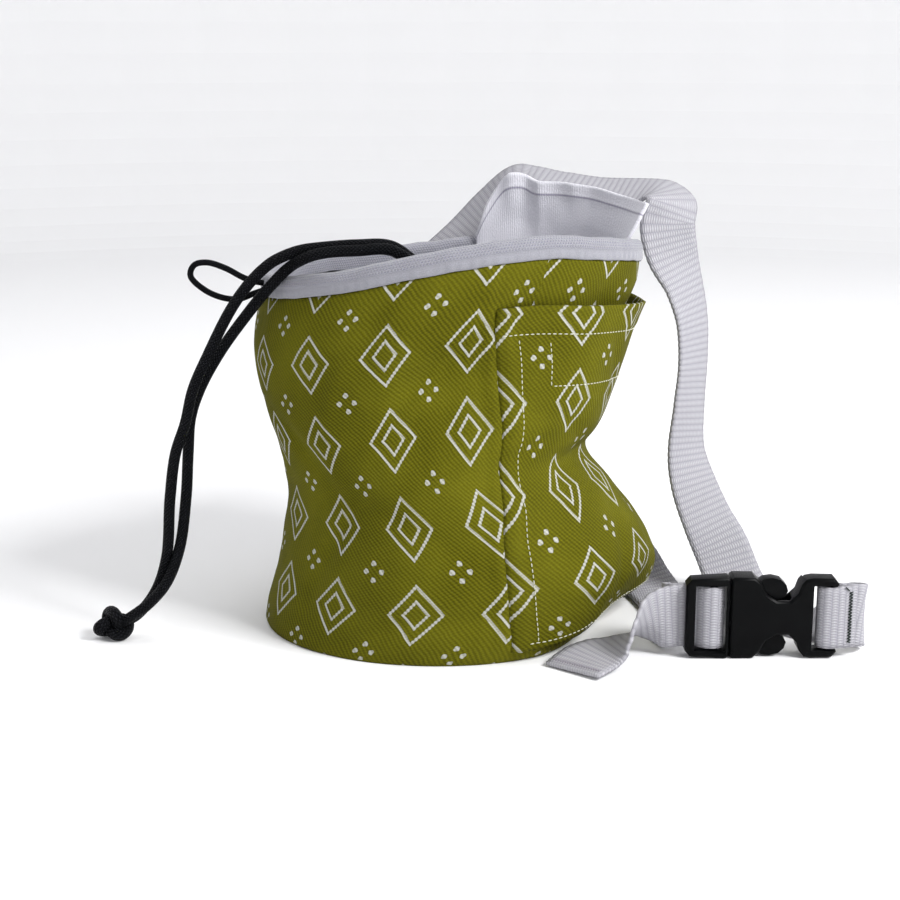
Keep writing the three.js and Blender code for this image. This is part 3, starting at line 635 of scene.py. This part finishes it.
# %% Pocket panel
POCKET_START, POCKET_END, POCKET_FOOT, POCKET_TOP = 284, 424, 0.03, 0.885
POCKET_WIDE = 0.178
POCKET_TALL = (POCKET_TOP - POCKET_FOOT) * RIM_HEIGHT


def smoothstep(x, low, high):
    """Smooth step from 0 at low to 1 at high."""
    t = max(0.0, min(1.0, (x - low) / (high - low)))
    return t * t * (3 - 2 * t)


def pocket_face(angle, level, lift):
    """Point on the pocket's outer face, raised by lift."""
    swell = max(0.0, min(1.0, 1.4 * math.sin(math.pi * (angle - POCKET_START) / (POCKET_END - POCKET_START))))
    wide = 5 * swell + 5.5 * bell((angle - 388) / 24)
    start = (angle - seam_angle(level)) * MM_PER_DEGREE
    edge = 0.35 + 1.7 * smoothstep(min(start, (POCKET_END - angle) * MM_PER_DEGREE), 0, 4)
    quilt = 0.45 * bell((start - 8.0) / 0.7) + 0.4 * bell(((POCKET_TOP - level) * RIM_HEIGHT - 10.3) / 0.8)
    hem = 0.5 * smoothstep(level, POCKET_TOP - 0.075, POCKET_TOP - 0.068)
    return body_point(angle, level, -(edge + hem - quilt + wide * smoothstep(level, 0.5, 0.86) + lift))


def pocket_place(u, v):
    """Angle and level of a place on the pocket's flat cloth."""
    level = POCKET_FOOT + v * (POCKET_TOP - POCKET_FOOT)
    first = seam_angle(level)
    return first + u * (POCKET_END - first), level


pocket = piece("pocket", cloth_grid(120, 74, lambda u, v: pocket_face(*pocket_place(u, v), 0.0),
                                    (POCKET_WIDE, POCKET_TALL * MM)), twill, "print_twill", "pocket_panel")
thicken(pocket, 1.2, -1.0)

# %% [markdown]
# ## Stitches
# Topstitching is what makes sewn cloth look sewn. Each stitch is a short bead of pale thread that lies
# in a shallow line, one in 2.1 mm. The beads of a row are joined into one piece.

# %% Sewing threads
def thread_material(name, dark, pale, blots, **sockets):
    """Smooth twisted thread, a little uneven in colour."""
    made, tree, shader = new_material(name, 0.5, **sockets)
    shade = noise_at(tree, object_place(tree), blots)
    colour_of(tree, shader, mix(tree, shade, linear(dark), linear(pale)))
    return made


# Polyester sewing thread: smooth and a little shiny, pale grey-green on the olive cloth, and nearly
# black and faded violet in the bartacks
thread = thread_material("sewing_thread", "#a5a48c", "#dcdccb", 0.6, Sheen_Weight=0.1)
dark_thread = thread_material("dark_sewing_thread", "#0c0e10", "#26332c", 0.6, Specular_IOR_Level=0.2)
violet_thread = thread_material("violet_sewing_thread", "#6b6470", "#918d94", 0.8, Specular_IOR_Level=0.2)
print("3 threads")

# %% [markdown]
# ### Rows of stitches
# A row is cut into equal stitches with a small gap between them, where the thread dips into the cloth.
# The rows of the pocket are given on its flat cloth, from one corner of each seam to the next.

# %% Stitch rows
def stitches(name, ends, thick, material, slot):
    """Beads of thread, each from one point to another, in millimetres."""
    mesh = bmesh.new()
    for start, stop in ends:
        start, stop = Vector(start) * MM, Vector(stop) * MM
        turn = (stop - start).to_track_quat("X", "Z").to_matrix().to_4x4()
        size = Matrix.Diagonal(((stop - start).length / 2, thick * MM / 2, thick * MM / 2, 1))
        bmesh.ops.create_icosphere(mesh, subdivisions=1, radius=1.0,
                                   matrix=Matrix.Translation((start + stop) / 2) @ turn @ size)
    return piece(name, mesh, material, slot)


STITCH_PITCH, STITCH_SHARE = 2.1, 0.78


def stitch_row(line, length):
    """Ends of the stitches along a line that takes a place from 0 to 1."""
    count = max(1, round(length / STITCH_PITCH))
    half = STITCH_SHARE / 2
    return [(line((i + 0.5 - half) / count), line((i + 0.5 + half) / count)) for i in range(count)]


SEAMS = table("u0 v0 u1 v1", [
    (0.012, 0.918, 0.985, 0.918), (0.048, 0.03, 0.048, 0.905), (0.12, 0.765, 0.985, 0.765),
    (0.115, 0.765, 0.115, 0.895), (0.985, 0.03, 0.985, 0.905), (0.03, 0.026, 0.975, 0.026),
])
ends = []
for row in SEAMS:
    def on_pocket(t, row=row):
        """Place on the pocket along this seam."""
        place = pocket_place(row["u0"] + t * (row["u1"] - row["u0"]), row["v0"] + t * (row["v1"] - row["v0"]))
        return pocket_face(*place, 0.1)
    long = math.hypot((row["u1"] - row["u0"]) * POCKET_WIDE / MM, (row["v1"] - row["v0"]) * POCKET_TALL)
    ends += stitch_row(on_pocket, long)
stitches("pocket_stitches", ends, 0.5, thread, "print_twill")

# %% [markdown]
# ## Closure collar
# A soft collar stands at the back of the mouth. It is a strip of brushed cloth with a seam under its
# top hem and a deep vertical fold where the drawcord has gathered it.

# %% Collar
COLLAR_LINE = table("u angle lean top", [
    (0.00, 73, 0, 0.05), (0.08, 69, 1, 0.45), (0.18, 63, 2, 0.86), (0.28, 57, 3, 0.92), (0.38, 51, 1, 0.78),
    (0.55, 39, 0, 0.72), (0.75, 22, -2, 0.66), (1.00, -12, -8, 0.56),
])
COLLAR_ROOT, COLLAR_RISE, COLLAR_HEM = -6, 27, 23.6


def collar_point(u, v):
    """Along the collar and up from its root inside the rim."""
    angle, lean, top = (smooth_at(COLLAR_LINE, "u", column, u) for column in ("angle", "lean", "top"))
    up = COLLAR_ROOT + v * (COLLAR_RISE * top + BAND_HEIGHT - COLLAR_ROOT)
    fold = 2.4 * bell((u - 0.3) / 0.06) * v - 1.0 * bell((u - 0.41) / 0.035) * v
    waves = 0.5 * math.sin(u * 34) * smoothstep(v, 0.5, 1.0) + 0.6 * noise.noise(Vector((u * 9, v * 3, 5)))
    groove = 0.55 * bell((v - 0.84) / 0.018)
    inset = BAND_WALL * 0.8 + 1.1 + 2 * lean * max(0, v - 0.5) - fold + waves + groove
    return body_point(round(angle, 4), 1, inset, up)


# Brushed collar cloth: lilac white, matt, with a faint grain and a painted shade line under the hem
collar_cloth, tree, shader = new_material("brushed_collar_cloth", 0.92, Sheen_Weight=0.3)
known, place = cloth_place(tree)
grain = noise_at(tree, place, 0.7, 3.0)
sums(tree, known, [
    ("ribs", "MULTIPLY", "x", 2 * math.pi / 1.3),
    ("rib_wave", "SINE", "ribs"),
    ("relief", "MULTIPLY_ADD", "rib_wave", 0.14, grain),
    ("hem", "SUBTRACT", "y", COLLAR_HEM),
    ("hem_abs", "ABSOLUTE", "hem"),
    ("hem_shade_ramp", "MULTIPLY_ADD", "hem_abs", -1.6, 1.0),
    ("painted_hem_shade", "MAXIMUM", "hem_shade_ramp", 0.0),
])
pale = mix(tree, grain, linear("#bdbcc5"), linear("#dddce2"))
# painted shade: a darker line along the groove under the hem
colour_of(tree, shader, mix(tree, known["painted_hem_shade"], pale, linear("#807d8e")))
bump_of(tree, shader, known["relief"], 0.3)
collar = piece("collar", cloth_grid(110, 34, collar_point, (0.105, 0.028)), collar_cloth, "soft_collar",
               "closure_collar")
thicken(collar, 1.7, -1.0)

# %% [markdown]
# ## Belt
# The belt is one loop of polypropylene webbing. It starts at the buckle's right bar, folds round it,
# leans over the back of the bag, runs down through the belt loop, comes round to the buckle's left
# side, is threaded through the adjuster and ends free on the ground. Its weave has a cross rib every
# 2.65 mm. The ribs are real relief here, so that the edge is scalloped too, and the small bobbles on
# each rib are left to the material.

# %% Belt stations
BUCKLE_LEFT, BUCKLE_LENGTH, BUCKLE_FRONT, BUCKLE_MIDDLE = 91.4, 59, -62, 16.5
WEB_WIDTH, WEB_WALL, RIB_PITCH = 25, 1.45, 2.65
STATION = "x y z wx wy wz"
RIGHT_BAR = table(STATION, [
    (7.6, 3.4, 0, 0, 0, 1), (3.6, 2.3, 0, 0, 0, 1), (-0.2, 1.3, 0, 0, 0, 1), (-4.6, 1.3, 0, 0, 0, 1),
    (-7.2, 4, 0, 0, 0, 1), (-4.6, 6.8, 0, 0, 0, 1), (0.1, 6.6, 0, 0, 0, 1), (6.1, 5.7, 0, 0, 0, 1),
    (10.4, 7.4, -1, 0, 0, 1),
])
LEFT_BAR = table(STATION, [
    (-6.6, 12.5, -2.3, 0, 0, 1), (-4.4, 7.8, -0.7, 0, 0, 1), (-0.4, 6.7, 0, 0, 0, 1),
    (4.6, 6.8, 0, 0, 0, 1), (11.8, 6.8, 0, 0, 0, 1), (14.8, 4, 0, 0, 0, 1), (11.8, 1.3, 0, 0, 0, 1),
    (8.2, 1.6, 0, 0, 0, 1), (5.1, 3.7, 0, 0, 0, 1), (1.6, 4.7, 0, 0, 0, 1), (-5.4, 3.7, -0.2, 0, 0, 1),
])
AROUND_BAG = table(STATION, [
    (1.0162, -0.35, 0.0946, 0, 0, 1), (0.9938, -0.2964, 0.0777, 0.15, 0.3, 0.85),
    (0.9437, -0.2429, 0.0493, 0.4, 0.75, 0.48), (0.8875, -0.1857, 0.0189, 0.6, 0.8, 0.12),
    (0.8344, -0.1071, 0.0108, 0.82, 0.56, 0), (0.7906, -0.0143, 0.0203, 0.95, 0.3, 0),
    (0.7562, 0.0571, 0.0743, 1, 0.1, 0), (0.7281, 0.1071, 0.1486, 0.98, 0.15, 0),
    (0.6906, 0.1429, 0.2297, 0.9, 0.42, 0), (0.6562, 0.1714, 0.3243, 0.82, 0.57, 0),
    (0.6375, 0.2, 0.4189, 0.68, 0.73, 0), (0.6438, 0.2214, 0.5541, 0.6, 0.8, 0),
    (0.6519, 0.2357, 0.6757, 0.57, 0.82, 0), (0.6462, 0.2429, 0.7973, 0.6, 0.8, 0),
    (0.6219, 0.2464, 0.8986, 0.7, 0.7, 0), (0.5875, 0.25, 0.9932, 0.92, 0.39, 0),
    (0.575, 0.2571, 1.0676, 0.96, 0.28, 0), (0.5862, 0.275, 1.1318, 0.85, 0.52, 0.02),
    (0.5594, 0.3143, 1.1568, 0.5, 0.83, 0.2), (0.5, 0.3536, 1.1514, 0.2, 0.92, 0.33),
    (0.4125, 0.3929, 1.1486, 0.05, 0.93, 0.36), (0.3063, 0.4357, 1.1622, 0, 0.93, 0.36),
    (0.225, 0.4679, 1.1743, -0.03, 0.93, 0.36), (0.1781, 0.4857, 1.1662, -0.2, 0.88, 0.42),
    (0.1094, 0.5036, 1.0946, -0.36, 0.84, 0.42), (0.0406, 0.5036, 1.0101, -0.5, 0.78, 0.36),
    (-0.0437, 0.4679, 0.9189, -0.82, 0.5, 0.22), (-0.1344, 0.4257, 0.8277, -0.9, -0.4, 0.1),
    (-0.2013, 0.3529, 0.7365, -0.9, -0.5, 0), (-0.2081, 0.3457, 0.65, -0.932, -0.363, 0),
    (-0.2087, 0.3586, 0.5743, -0.925, -0.381, 0), (-0.2106, 0.3714, 0.5068, -0.915, -0.404, 0),
    (-0.2031, 0.4043, 0.4122, -0.93, -0.36, 0), (-0.1906, 0.4607, 0.3209, -0.97, -0.2, 0.1),
    (-0.1625, 0.5286, 0.2297, -0.92, 0, 0.4), (-0.0875, 0.6, 0.1419, -0.6, 0.1, 0.8),
    (0.0312, 0.65, 0.0919, -0.15, 0, 1), (0.175, 0.6286, 0.0872, 0, 0, 1),
    (0.2875, 0.5571, 0.0872, 0, 0, 1), (0.3812, 0.4679, 0.0872, 0, 0, 1),
    (0.4437, 0.3857, 0.0865, 0.1, 0.05, 1), (0.4906, 0.3, 0.0669, 0.6, 0.3, 0.72),
    (0.5281, 0.2071, 0.0257, 0.95, 0.25, 0.2), (0.5563, 0.1071, 0.0108, 1, 0.1, 0),
    (0.575, 0.0071, 0.0095, 1, -0.1, 0), (0.585, -0.0857, 0.0115, 1, -0.15, 0.04),
    (0.5862, -0.1714, 0.0284, 0.98, -0.2, 0.2), (0.5687, -0.2464, 0.0568, 0.75, -0.3, 0.6),
    (0.5406, -0.3107, 0.0838, 0.2, -0.05, 0.97),
])
FREE_END = table(STATION, [
    (0.4969, -0.425, 0.1041, 0, -0.25, 0.97), (0.4594, -0.4343, 0.0851, 0, -0.75, 0.65),
    (0.4281, -0.4429, 0.0595, 0.02, -0.97, 0.25), (0.3969, -0.4536, 0.0378, 0.12, -0.99, 0),
    (0.3625, -0.4729, 0.027, 0.25, -0.96, -0.1), (0.3281, -0.5057, 0.0196, 0.4, -0.9, -0.1),
    (0.2906, -0.5571, 0.0108, 0.6, -0.8, 0),
])


def stations(rows, start, scale):
    """Middles of the belt in millimetres and the ways across it, at a table's stations."""
    return [(Vector([first + size * row[key] for first, size, key in zip(start, scale, "xyz")]),
             Vector((row["wx"], row["wy"], row["wz"]))) for row in rows]


BODY_SIZES = (BODY_WIDTH, BODY_DEPTH, RIM_HEIGHT)
BELT = [*stations(RIGHT_BAR, (BUCKLE_LEFT + BUCKLE_LENGTH, BUCKLE_FRONT, BUCKLE_MIDDLE), (1, 1, 1)),
        *stations(AROUND_BAG, (0, 0, 0), BODY_SIZES),
        *stations(LEFT_BAR, (BUCKLE_LEFT, BUCKLE_FRONT, BUCKLE_MIDDLE), (1, 1, 1)),
        *stations(FREE_END, (0, 0, 0), BODY_SIZES)]
BELT_LINE, BELT_WAYS = zip(*BELT)
belt_places, belt_length = equal_places(BELT_LINE, RIB_PITCH / 4)
BELT_STEPS = len(belt_places) - 1
print("belt length", round(belt_length), "mm, from", len(BELT), "stations")

# %% [markdown]
# ### The belt's band
# The band is swept along that line. At each step it knows the way across its width, which turns with
# the folds and leans of the webbing, and the way through its wall.

# %% Belt sweep
@functools.lru_cache(maxsize=None)
def belt_frame(k):
    """Middle of the belt at a step along it, with the ways across its width and through its wall."""
    place = belt_places[k]
    centre = curve_at(BELT_LINE, place)
    ahead = curve_at(BELT_LINE, min(place + 0.02, len(BELT) - 1.001))
    behind = curve_at(BELT_LINE, max(place - 0.02, 0.0))
    along = (ahead - behind).normalized()
    wide = curve_at(BELT_WAYS, place)
    wide = (wide - along * wide.dot(along)).normalized()
    return centre, wide, along.cross(wide)


def belt_at(u, k, lift=0.0):
    """Point across the belt at a step along it, with ribs, lifted off its middle."""
    centre, wide, thick = belt_frame(k)
    rib = abs(math.sin(math.pi * k * belt_length / BELT_STEPS / RIB_PITCH))
    across = (u - 0.5) * (WEB_WIDTH - 0.35 + 0.3 * rib)
    return centre + wide * across + thick * (0.14 * (rib - 0.6) + lift)


def belt_point(u, v):
    """Point of the belt across its width and along its length."""
    return belt_at(u, round(v * BELT_STEPS))


print("belt swept in", BELT_STEPS, "steps")

# %% [markdown]
# ### Webbing
# Each rib of the webbing is a row of small bobbles, and the bobbles of the next rib lie in its gaps. A
# bobble is a wave across the belt, which a bend towards the rib's edges makes into a slight chevron.

# %% Webbing material and the belt
BOBBLE_PITCH = 1.12

# Polypropylene webbing: hard shiny threads, nearly white with a lilac cast, in ribs of small bobbles;
# the hollows between ribs and bobbles are darkened with painted shade
webbing, tree, shader = new_material("polypropylene_webbing", 0.6, Specular_IOR_Level=0.25)
known, place = cloth_place(tree)
sums(tree, known, [
    ("rib_id", "DIVIDE", "y", RIB_PITCH),
    ("rib_floor", "FLOOR", "rib_id"),
    ("in_rib", "SUBTRACT", "rib_id", "rib_floor"),
    ("from_top", "SUBTRACT", "in_rib", 0.5),
    ("from_top_abs", "ABSOLUTE", "from_top"),
    ("stagger", "MULTIPLY", "rib_floor", math.pi),
    ("vee", "MULTIPLY_ADD", "from_top_abs", 2.4, "stagger"),
    ("bobble", "MULTIPLY_ADD", "x", 2 * math.pi / BOBBLE_PITCH, "vee"),
    ("bobble_wave", "SINE", "bobble"),
    ("bobble_height", "MULTIPLY_ADD", "bobble_wave", 0.5, 0.5),
    ("rib_slope", "MULTIPLY", "from_top_abs", -2.0),
    ("rib_height", "ADD", "rib_slope", 1.0),
    ("rib_root", "SQRT", "rib_height"),
    ("height", "MULTIPLY", "bobble_height", "rib_root"),
    ("relief", "MULTIPLY_ADD", "rib_root", 0.6, "height"),
    ("relief_half", "MULTIPLY", "relief", 0.62),
    ("soil", "MULTIPLY", noise_at(tree, place, 9), 0.28),
])
# painted shade: the colour darkens where the ribs and bobbles dip
yarn = mix(tree, known["relief_half"], linear("#8a8990"), linear("#b6b5ba"))
colour_of(tree, shader, mix(tree, known["soil"], yarn, linear("#939299")))
bump_of(tree, shader, known["relief_half"], 0.36)
belt = piece("belt", cloth_grid(10, BELT_STEPS, belt_point, (WEB_WIDTH * MM, belt_length * MM)),
             webbing, "webbing", "belt_strap", "belt_top", "belt_back", "belt_tail")
thicken(belt, WEB_WALL)

# %% [markdown]
# ## Belt loop and bartacks
# A short band of the same webbing on the bag's back holds the belt. Where webbing is sewn, a bartack
# holds it: a dense zigzag of dark thread right across. One closes the fold at the buckle, and one
# stops the cut end from fraying.

# %% Loop and bartacks
LOOP_START, LOOP_END, LOOP_LENGTH = 81, 126, 55


def loop_point(u, v):
    """Belt loop, standing off the back between its sewn ends."""
    angle = LOOP_START + (LOOP_END - LOOP_START) * u
    ends = smoothstep(min(angle - LOOP_START, LOOP_END - angle), 0, 9)
    rib = abs(math.sin(math.pi * LOOP_LENGTH * u / RIB_PITCH))
    return body_point(angle, 0.54 + 0.15 * v, -(1.05 + 3.6 * ends + 0.15 * rib))


loop = piece("back_loop", cloth_grid(84, 16, loop_point, (LOOP_LENGTH * MM, 0.022)), webbing, "webbing",
             "belt_loop")
thicken(loop, 1.4)


def zigzag(step, across, count, lift):
    """Ends of a zigzag's stitches, across the belt and three steps wide along it."""
    low, high = across
    corners = [belt_at(low + (high - low) * k / (2 * count), step + 3 * (k % 2), lift)
               for k in range(2 * count + 1)]
    return list(zip(corners, corners[1:]))


loose_end = (belt_at(0.92, 5, -0.9), belt_at(1.02, 9, -1.2))
stitches("buckle_bartack", [*zigzag(3, (0.08, 0.92), 17, -0.95), loose_end], 0.55, dark_thread, "webbing")
stitches("end_bartack", [ends for lift in (0.88, -0.88)
                         for ends in zigzag(BELT_STEPS - 6, (0.06, 0.94), 20, lift)],
         0.32, violet_thread, "webbing")

# %% [markdown]
# ## Drawcord and thin loop
# The drawcord is a round braid of ten threads, black and slightly shiny. Its two strands leave the
# mouth, lie over the rim and run down to a knot on the ground. The braid's small lozenges are two
# families of spirals, drawn by the material round each tube. A thin loop is sewn in at the rim's end.

# %% Cord material
CORD_THICK, CORD_AROUND, BRAID_PITCH = 4.4, 13.8, 1.55

# Braided polyester cord: black with faint highlights on its small lozenge cells
cord_material, tree, shader = new_material("braided_black_cord", 0.4, Specular_IOR_Level=0.05)
known, place = cloth_place(tree)
sums(tree, known, [
    ("round", "MULTIPLY", "x", 2 * math.pi * 5 / CORD_AROUND),
    ("up", "MULTIPLY", "y", math.pi / BRAID_PITCH),
    ("a", "ADD", "round", "up"),
    ("b", "SUBTRACT", "round", "up"),
    ("sin_a", "SINE", "a"),
    ("sin_b", "SINE", "b"),
    ("cells", "MULTIPLY", "sin_a", "sin_b"),
    ("cells_abs", "ABSOLUTE", "cells"),
    ("cell", "SQRT", "cells_abs"),
])
fluff = noise_at(tree, place, 0.35, 3.0)
strand = mix(tree, known["cell"], linear("#010101"), linear("#202125"))
colour_of(tree, shader, mix(tree, 0.5, strand, mix(tree, fluff, linear("#020203"), linear("#131417"))))
bump_of(tree, shader, known["cell"], 0.9)
print("cord with one braid cell in", BRAID_PITCH, "mm")

# %% [markdown]
# ### The cords' routes
# The points were read off the photograph for the visible stretches. Inside the mouth the strands end
# out of sight, and their last point lies inside the knot.

# %% Cord routes
STRAND_A = [
    (-12, -37.5, 151), (-22.5, -39, 158.2), (-35.3, -40.5, 158.8), (-47.1, -40.5, 158),
    (-57.2, -38.3, 156.4), (-64.7, -37, 153.6), (-69.7, -35.5, 150.6), (-77.1, -36, 143.6),
    (-84.3, -38, 133.7), (-93.4, -40, 116.3), (-99.5, -41.2, 102.9), (-102.9, -41.4, 89.7),
    (-107.4, -40.5, 77), (-110.4, -39.5, 58.3), (-112.9, -38, 34.2), (-118.5, -35.8, 18.6),
    (-126.8, -35, 8.4), (-131.5, -36.2, 6.4),
]
STRAND_B = [
    (-11, -43, 150), (-22.3, -44.4, 157.3), (-35.1, -45.6, 157.3), (-46.8, -45.4, 156.5),
    (-53.8, -43.7, 154.6), (-61.9, -38.2, 149.6), (-70.4, -37.2, 141), (-76.4, -35.8, 133.9),
    (-89, -35.8, 117.1), (-97.6, -36, 102), (-101.6, -36.2, 90.5), (-103, -36.2, 77),
    (-104.5, -36.8, 57.8), (-107.6, -38.8, 37.6), (-113, -41, 24.1), (-120.4, -42.2, 15.6),
    (-126.6, -42.4, 11), (-131.5, -41, 7.6),
]
THIN_LOOP = [
    (-73, -23.3, 139), (-76.8, -24.2, 137.8), (-82.2, -26, 136), (-88, -26, 136.2), (-95.6, -26, 139.3),
    (-101.2, -26, 145), (-99.6, -26, 149.2), (-94.6, -26, 150.2), (-87.5, -26, 148), (-81, -25, 144.3),
    (-76.6, -22.7, 142.3), (-73.4, -21.6, 141.6),
]
print("cord routes with", len(STRAND_A), len(STRAND_B), "and", len(THIN_LOOP), "points")

# %% [markdown]
# ### A tube along a line
# A tube is a grid wound round a line. Its start direction is carried along from step to step, so that
# the braid doesn't twist. The ends are drawn together to a point, and a knot is joined round instead.

# %% Tube helpers
def tube(name, line, thick, slot, *nodes, middle=None):
    """Tube along a list of points in millimetres, closed at its ends, or joined round if it has a middle."""
    if middle is None:
        line = [line[0], *line, line[-1]]
    steps = len(line) - 1
    side = Vector((0, -1, 0.2)).normalized()
    sides = []
    for k, centre in enumerate(line):
        before, after = line[max(k - 1, 0)], line[min(k + 1, steps)]
        if middle is not None:
            before, after, side = line[(k - 1) % steps], line[(k + 1) % steps], centre - middle
        way = (after - before).normalized()
        side = (side - way * side.dot(way)).normalized()
        sides.append((side.copy(), way.cross(side)))

    def point(u, v):
        k = round(v * steps)
        radius = 0 if middle is None and k in (0, steps) else thick / 2
        turn = 2 * math.pi * u
        return line[k] + radius * (sides[k][0] * math.cos(turn) + sides[k][1] * math.sin(turn))

    run = sum((b - a).length for a, b in zip(line, line[1:]))
    mesh = cloth_grid(16, steps, point, (CORD_AROUND * MM, run * MM))
    return piece(name, mesh, cord_material, slot, *nodes), run


def cord_tube(name, points, thick, slot, node, **facts):
    """Cord along the given points."""
    line = [curve_at(points, place) for place in equal_places(points, 1.1)[0]]
    obj, run = tube(name, line, thick, slot, node)
    print(name, round(run), "mm")
    return obj


# %% [markdown]
# ## The knot
# The strands end in an overhand knot. Its path is the simplest real knot, a trefoil, drawn up tight:
# three lobes that pass over and under each other.

# %% Knot and strands
KNOT_MIDDLE, KNOT_CORD, KNOT_STEPS = Vector((-135.2, -38.6, 6.1)), 5.2, 110
turns = [2 * math.pi * k / KNOT_STEPS for k in range(KNOT_STEPS + 1)]
trefoil = [KNOT_MIDDLE + Vector((1.95 * (math.sin(t) + 2 * math.sin(2 * t)), 3.1 * math.sin(3 * t),
                                 -1.6 * (math.cos(t) - 2 * math.cos(2 * t)))) for t in turns]
knot, knot_run = tube("cord_knot", trefoil, KNOT_CORD, "cord", "drawcord_knot", middle=KNOT_MIDDLE)
print("cord in the knot", round(knot_run), "mm")
cord_tube("cord_strand_a", STRAND_A, CORD_THICK, "cord", "drawcord_strand_a", far_end="knot",
          stiffness="limp", lay="hanging", with_pieces=[knot])
cord_tube("cord_strand_b", STRAND_B, CORD_THICK, "cord", "drawcord_strand_b", far_end="knot",
          stiffness="limp", lay="hanging")
cord_tube("thin_cord_loop", THIN_LOOP, 2.4, "thin_cord", "rim_cord_loop", far_end="object",
          stiffness="medium", lay="loose")

# %% [markdown]
# ## Side-release buckle
# The buckle is moulded in acetal, a hard black plastic. Its CAD shape is exact, so it is copied, its
# facets are merged and its edges get the small radius that a mould leaves. The radius matters, because
# black plastic shows its form almost only by the highlights on its edges.

# %% Buckle
# Moulded acetal: nearly black, satin, with a very fine even grain that softens the highlights
acetal, tree, shader = new_material("moulded_acetal", 0.3, Specular_IOR_Level=0.06)
place = object_place(tree)
wear = noise_at(tree, place, 6, 3.0)
known = sums(tree, {}, [("roughness", "MULTIPLY_ADD", wear, 0.2, 0.22)])
colour_of(tree, shader, mix(tree, wear, linear("#030304"), linear("#090a0b")))
tree.links.new(known["roughness"], shader.inputs["Roughness"])
bump_of(tree, shader, noise_at(tree, place, 0.35), 0.05)
MOULD_RADIUS = 0.4
for node in ("buckle_female", "buckle_male"):
    mesh = bmesh.new()
    mesh.from_mesh(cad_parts[node].data)
    bmesh.ops.remove_doubles(mesh, verts=mesh.verts[:], dist=0.001 * MM)
    half = piece(node.replace("buckle_", "") + "_half", mesh, acetal, "buckle_plastic", node)
    edge = half.modifiers.new("mould radius", "BEVEL")
    edge.width = MOULD_RADIUS * MM
    edge.segments = 3
    edge.angle_limit = math.radians(30)
    edge.use_clamp_overlap = True

# %% [markdown]
# ## Studio
# The photograph is a product picture: white all round and soft light from above, a little stronger
# from the right. The floor is a pale round sheet that curves up on every side, so that no horizon
# shows from anywhere, and it throws some of its light back on the cloth.

# %% Floor
FLOOR_FLAT, FLOOR_BEND, FLOOR_WALL = 1200, 900, 1000
FLOOR_RUN = FLOOR_FLAT + FLOOR_BEND + FLOOR_WALL

# Seamless paper: a plain near-white matt sheet
paper, tree, shader = new_material("seamless_paper", 0.95, Base_Color=linear("#f4f4f5"))


def sweep_point(u, v):
    """Round floor that turns up into a wall all the way round."""
    run = FLOOR_RUN * v
    turn = max(0.0, min(1.0, (run - FLOOR_FLAT) / FLOOR_BEND)) * math.pi / 2
    radius = FLOOR_BEND / (math.pi / 2)
    out = min(run, FLOOR_FLAT) + radius * math.sin(turn)
    rise = radius * (1 - math.cos(turn)) + max(0.0, run - FLOOR_FLAT - FLOOR_BEND)
    return Vector((out * math.cos(2 * math.pi * u), out * math.sin(2 * math.pi * u), rise))


data = bpy.data.meshes.new("sweep")
mesh = cloth_grid(96, 62, sweep_point, (8, FLOOR_RUN * MM))
mesh.to_mesh(data)
mesh.free()
sweep = bpy.data.objects.new("sweep", data)
bpy.context.scene.collection.objects.link(sweep)
data.materials.append(paper)
print("floor of", FLOOR_RUN, "mm from its middle")

# %% [markdown]
# ### Lights and sky
# The key light stands at the right, the fill is weak, and a large one from above keeps the shadows
# soft. A pale sky lifts what no lamp reaches.

# %% Lights and world
LIGHTS = table("name x y z size power", [
    ("key", 0.95, -0.60, 1.00, 0.5, 24), ("fill", -0.95, -0.85, 0.7, 1.0, 1.5),
    ("top", 0.0, 0.25, 1.4, 1.1, 8.5),
])
AIM = Vector((0, 0, 0.07))
for row in LIGHTS:
    lamp = bpy.data.lights.new(row["name"], "AREA")
    lamp.shape = "SQUARE"
    lamp.size = row["size"]
    lamp.energy = row["power"]
    obj = bpy.data.objects.new(row["name"], lamp)
    obj.location = (row["x"], row["y"], row["z"])
    obj.rotation_euler = (AIM - obj.location).to_track_quat("-Z", "Y").to_euler()
    bpy.context.scene.collection.objects.link(obj)

world = bpy.data.worlds.new("studio")
world.use_nodes = True
sky = world.node_tree.nodes["Background"]
sky.inputs["Color"].default_value = linear("#f2f3f6")
sky.inputs["Strength"].default_value = 0.25
bpy.context.scene.world = world
bpy.context.scene.view_settings.view_transform = "Standard"
print(len(LIGHTS), "lights")
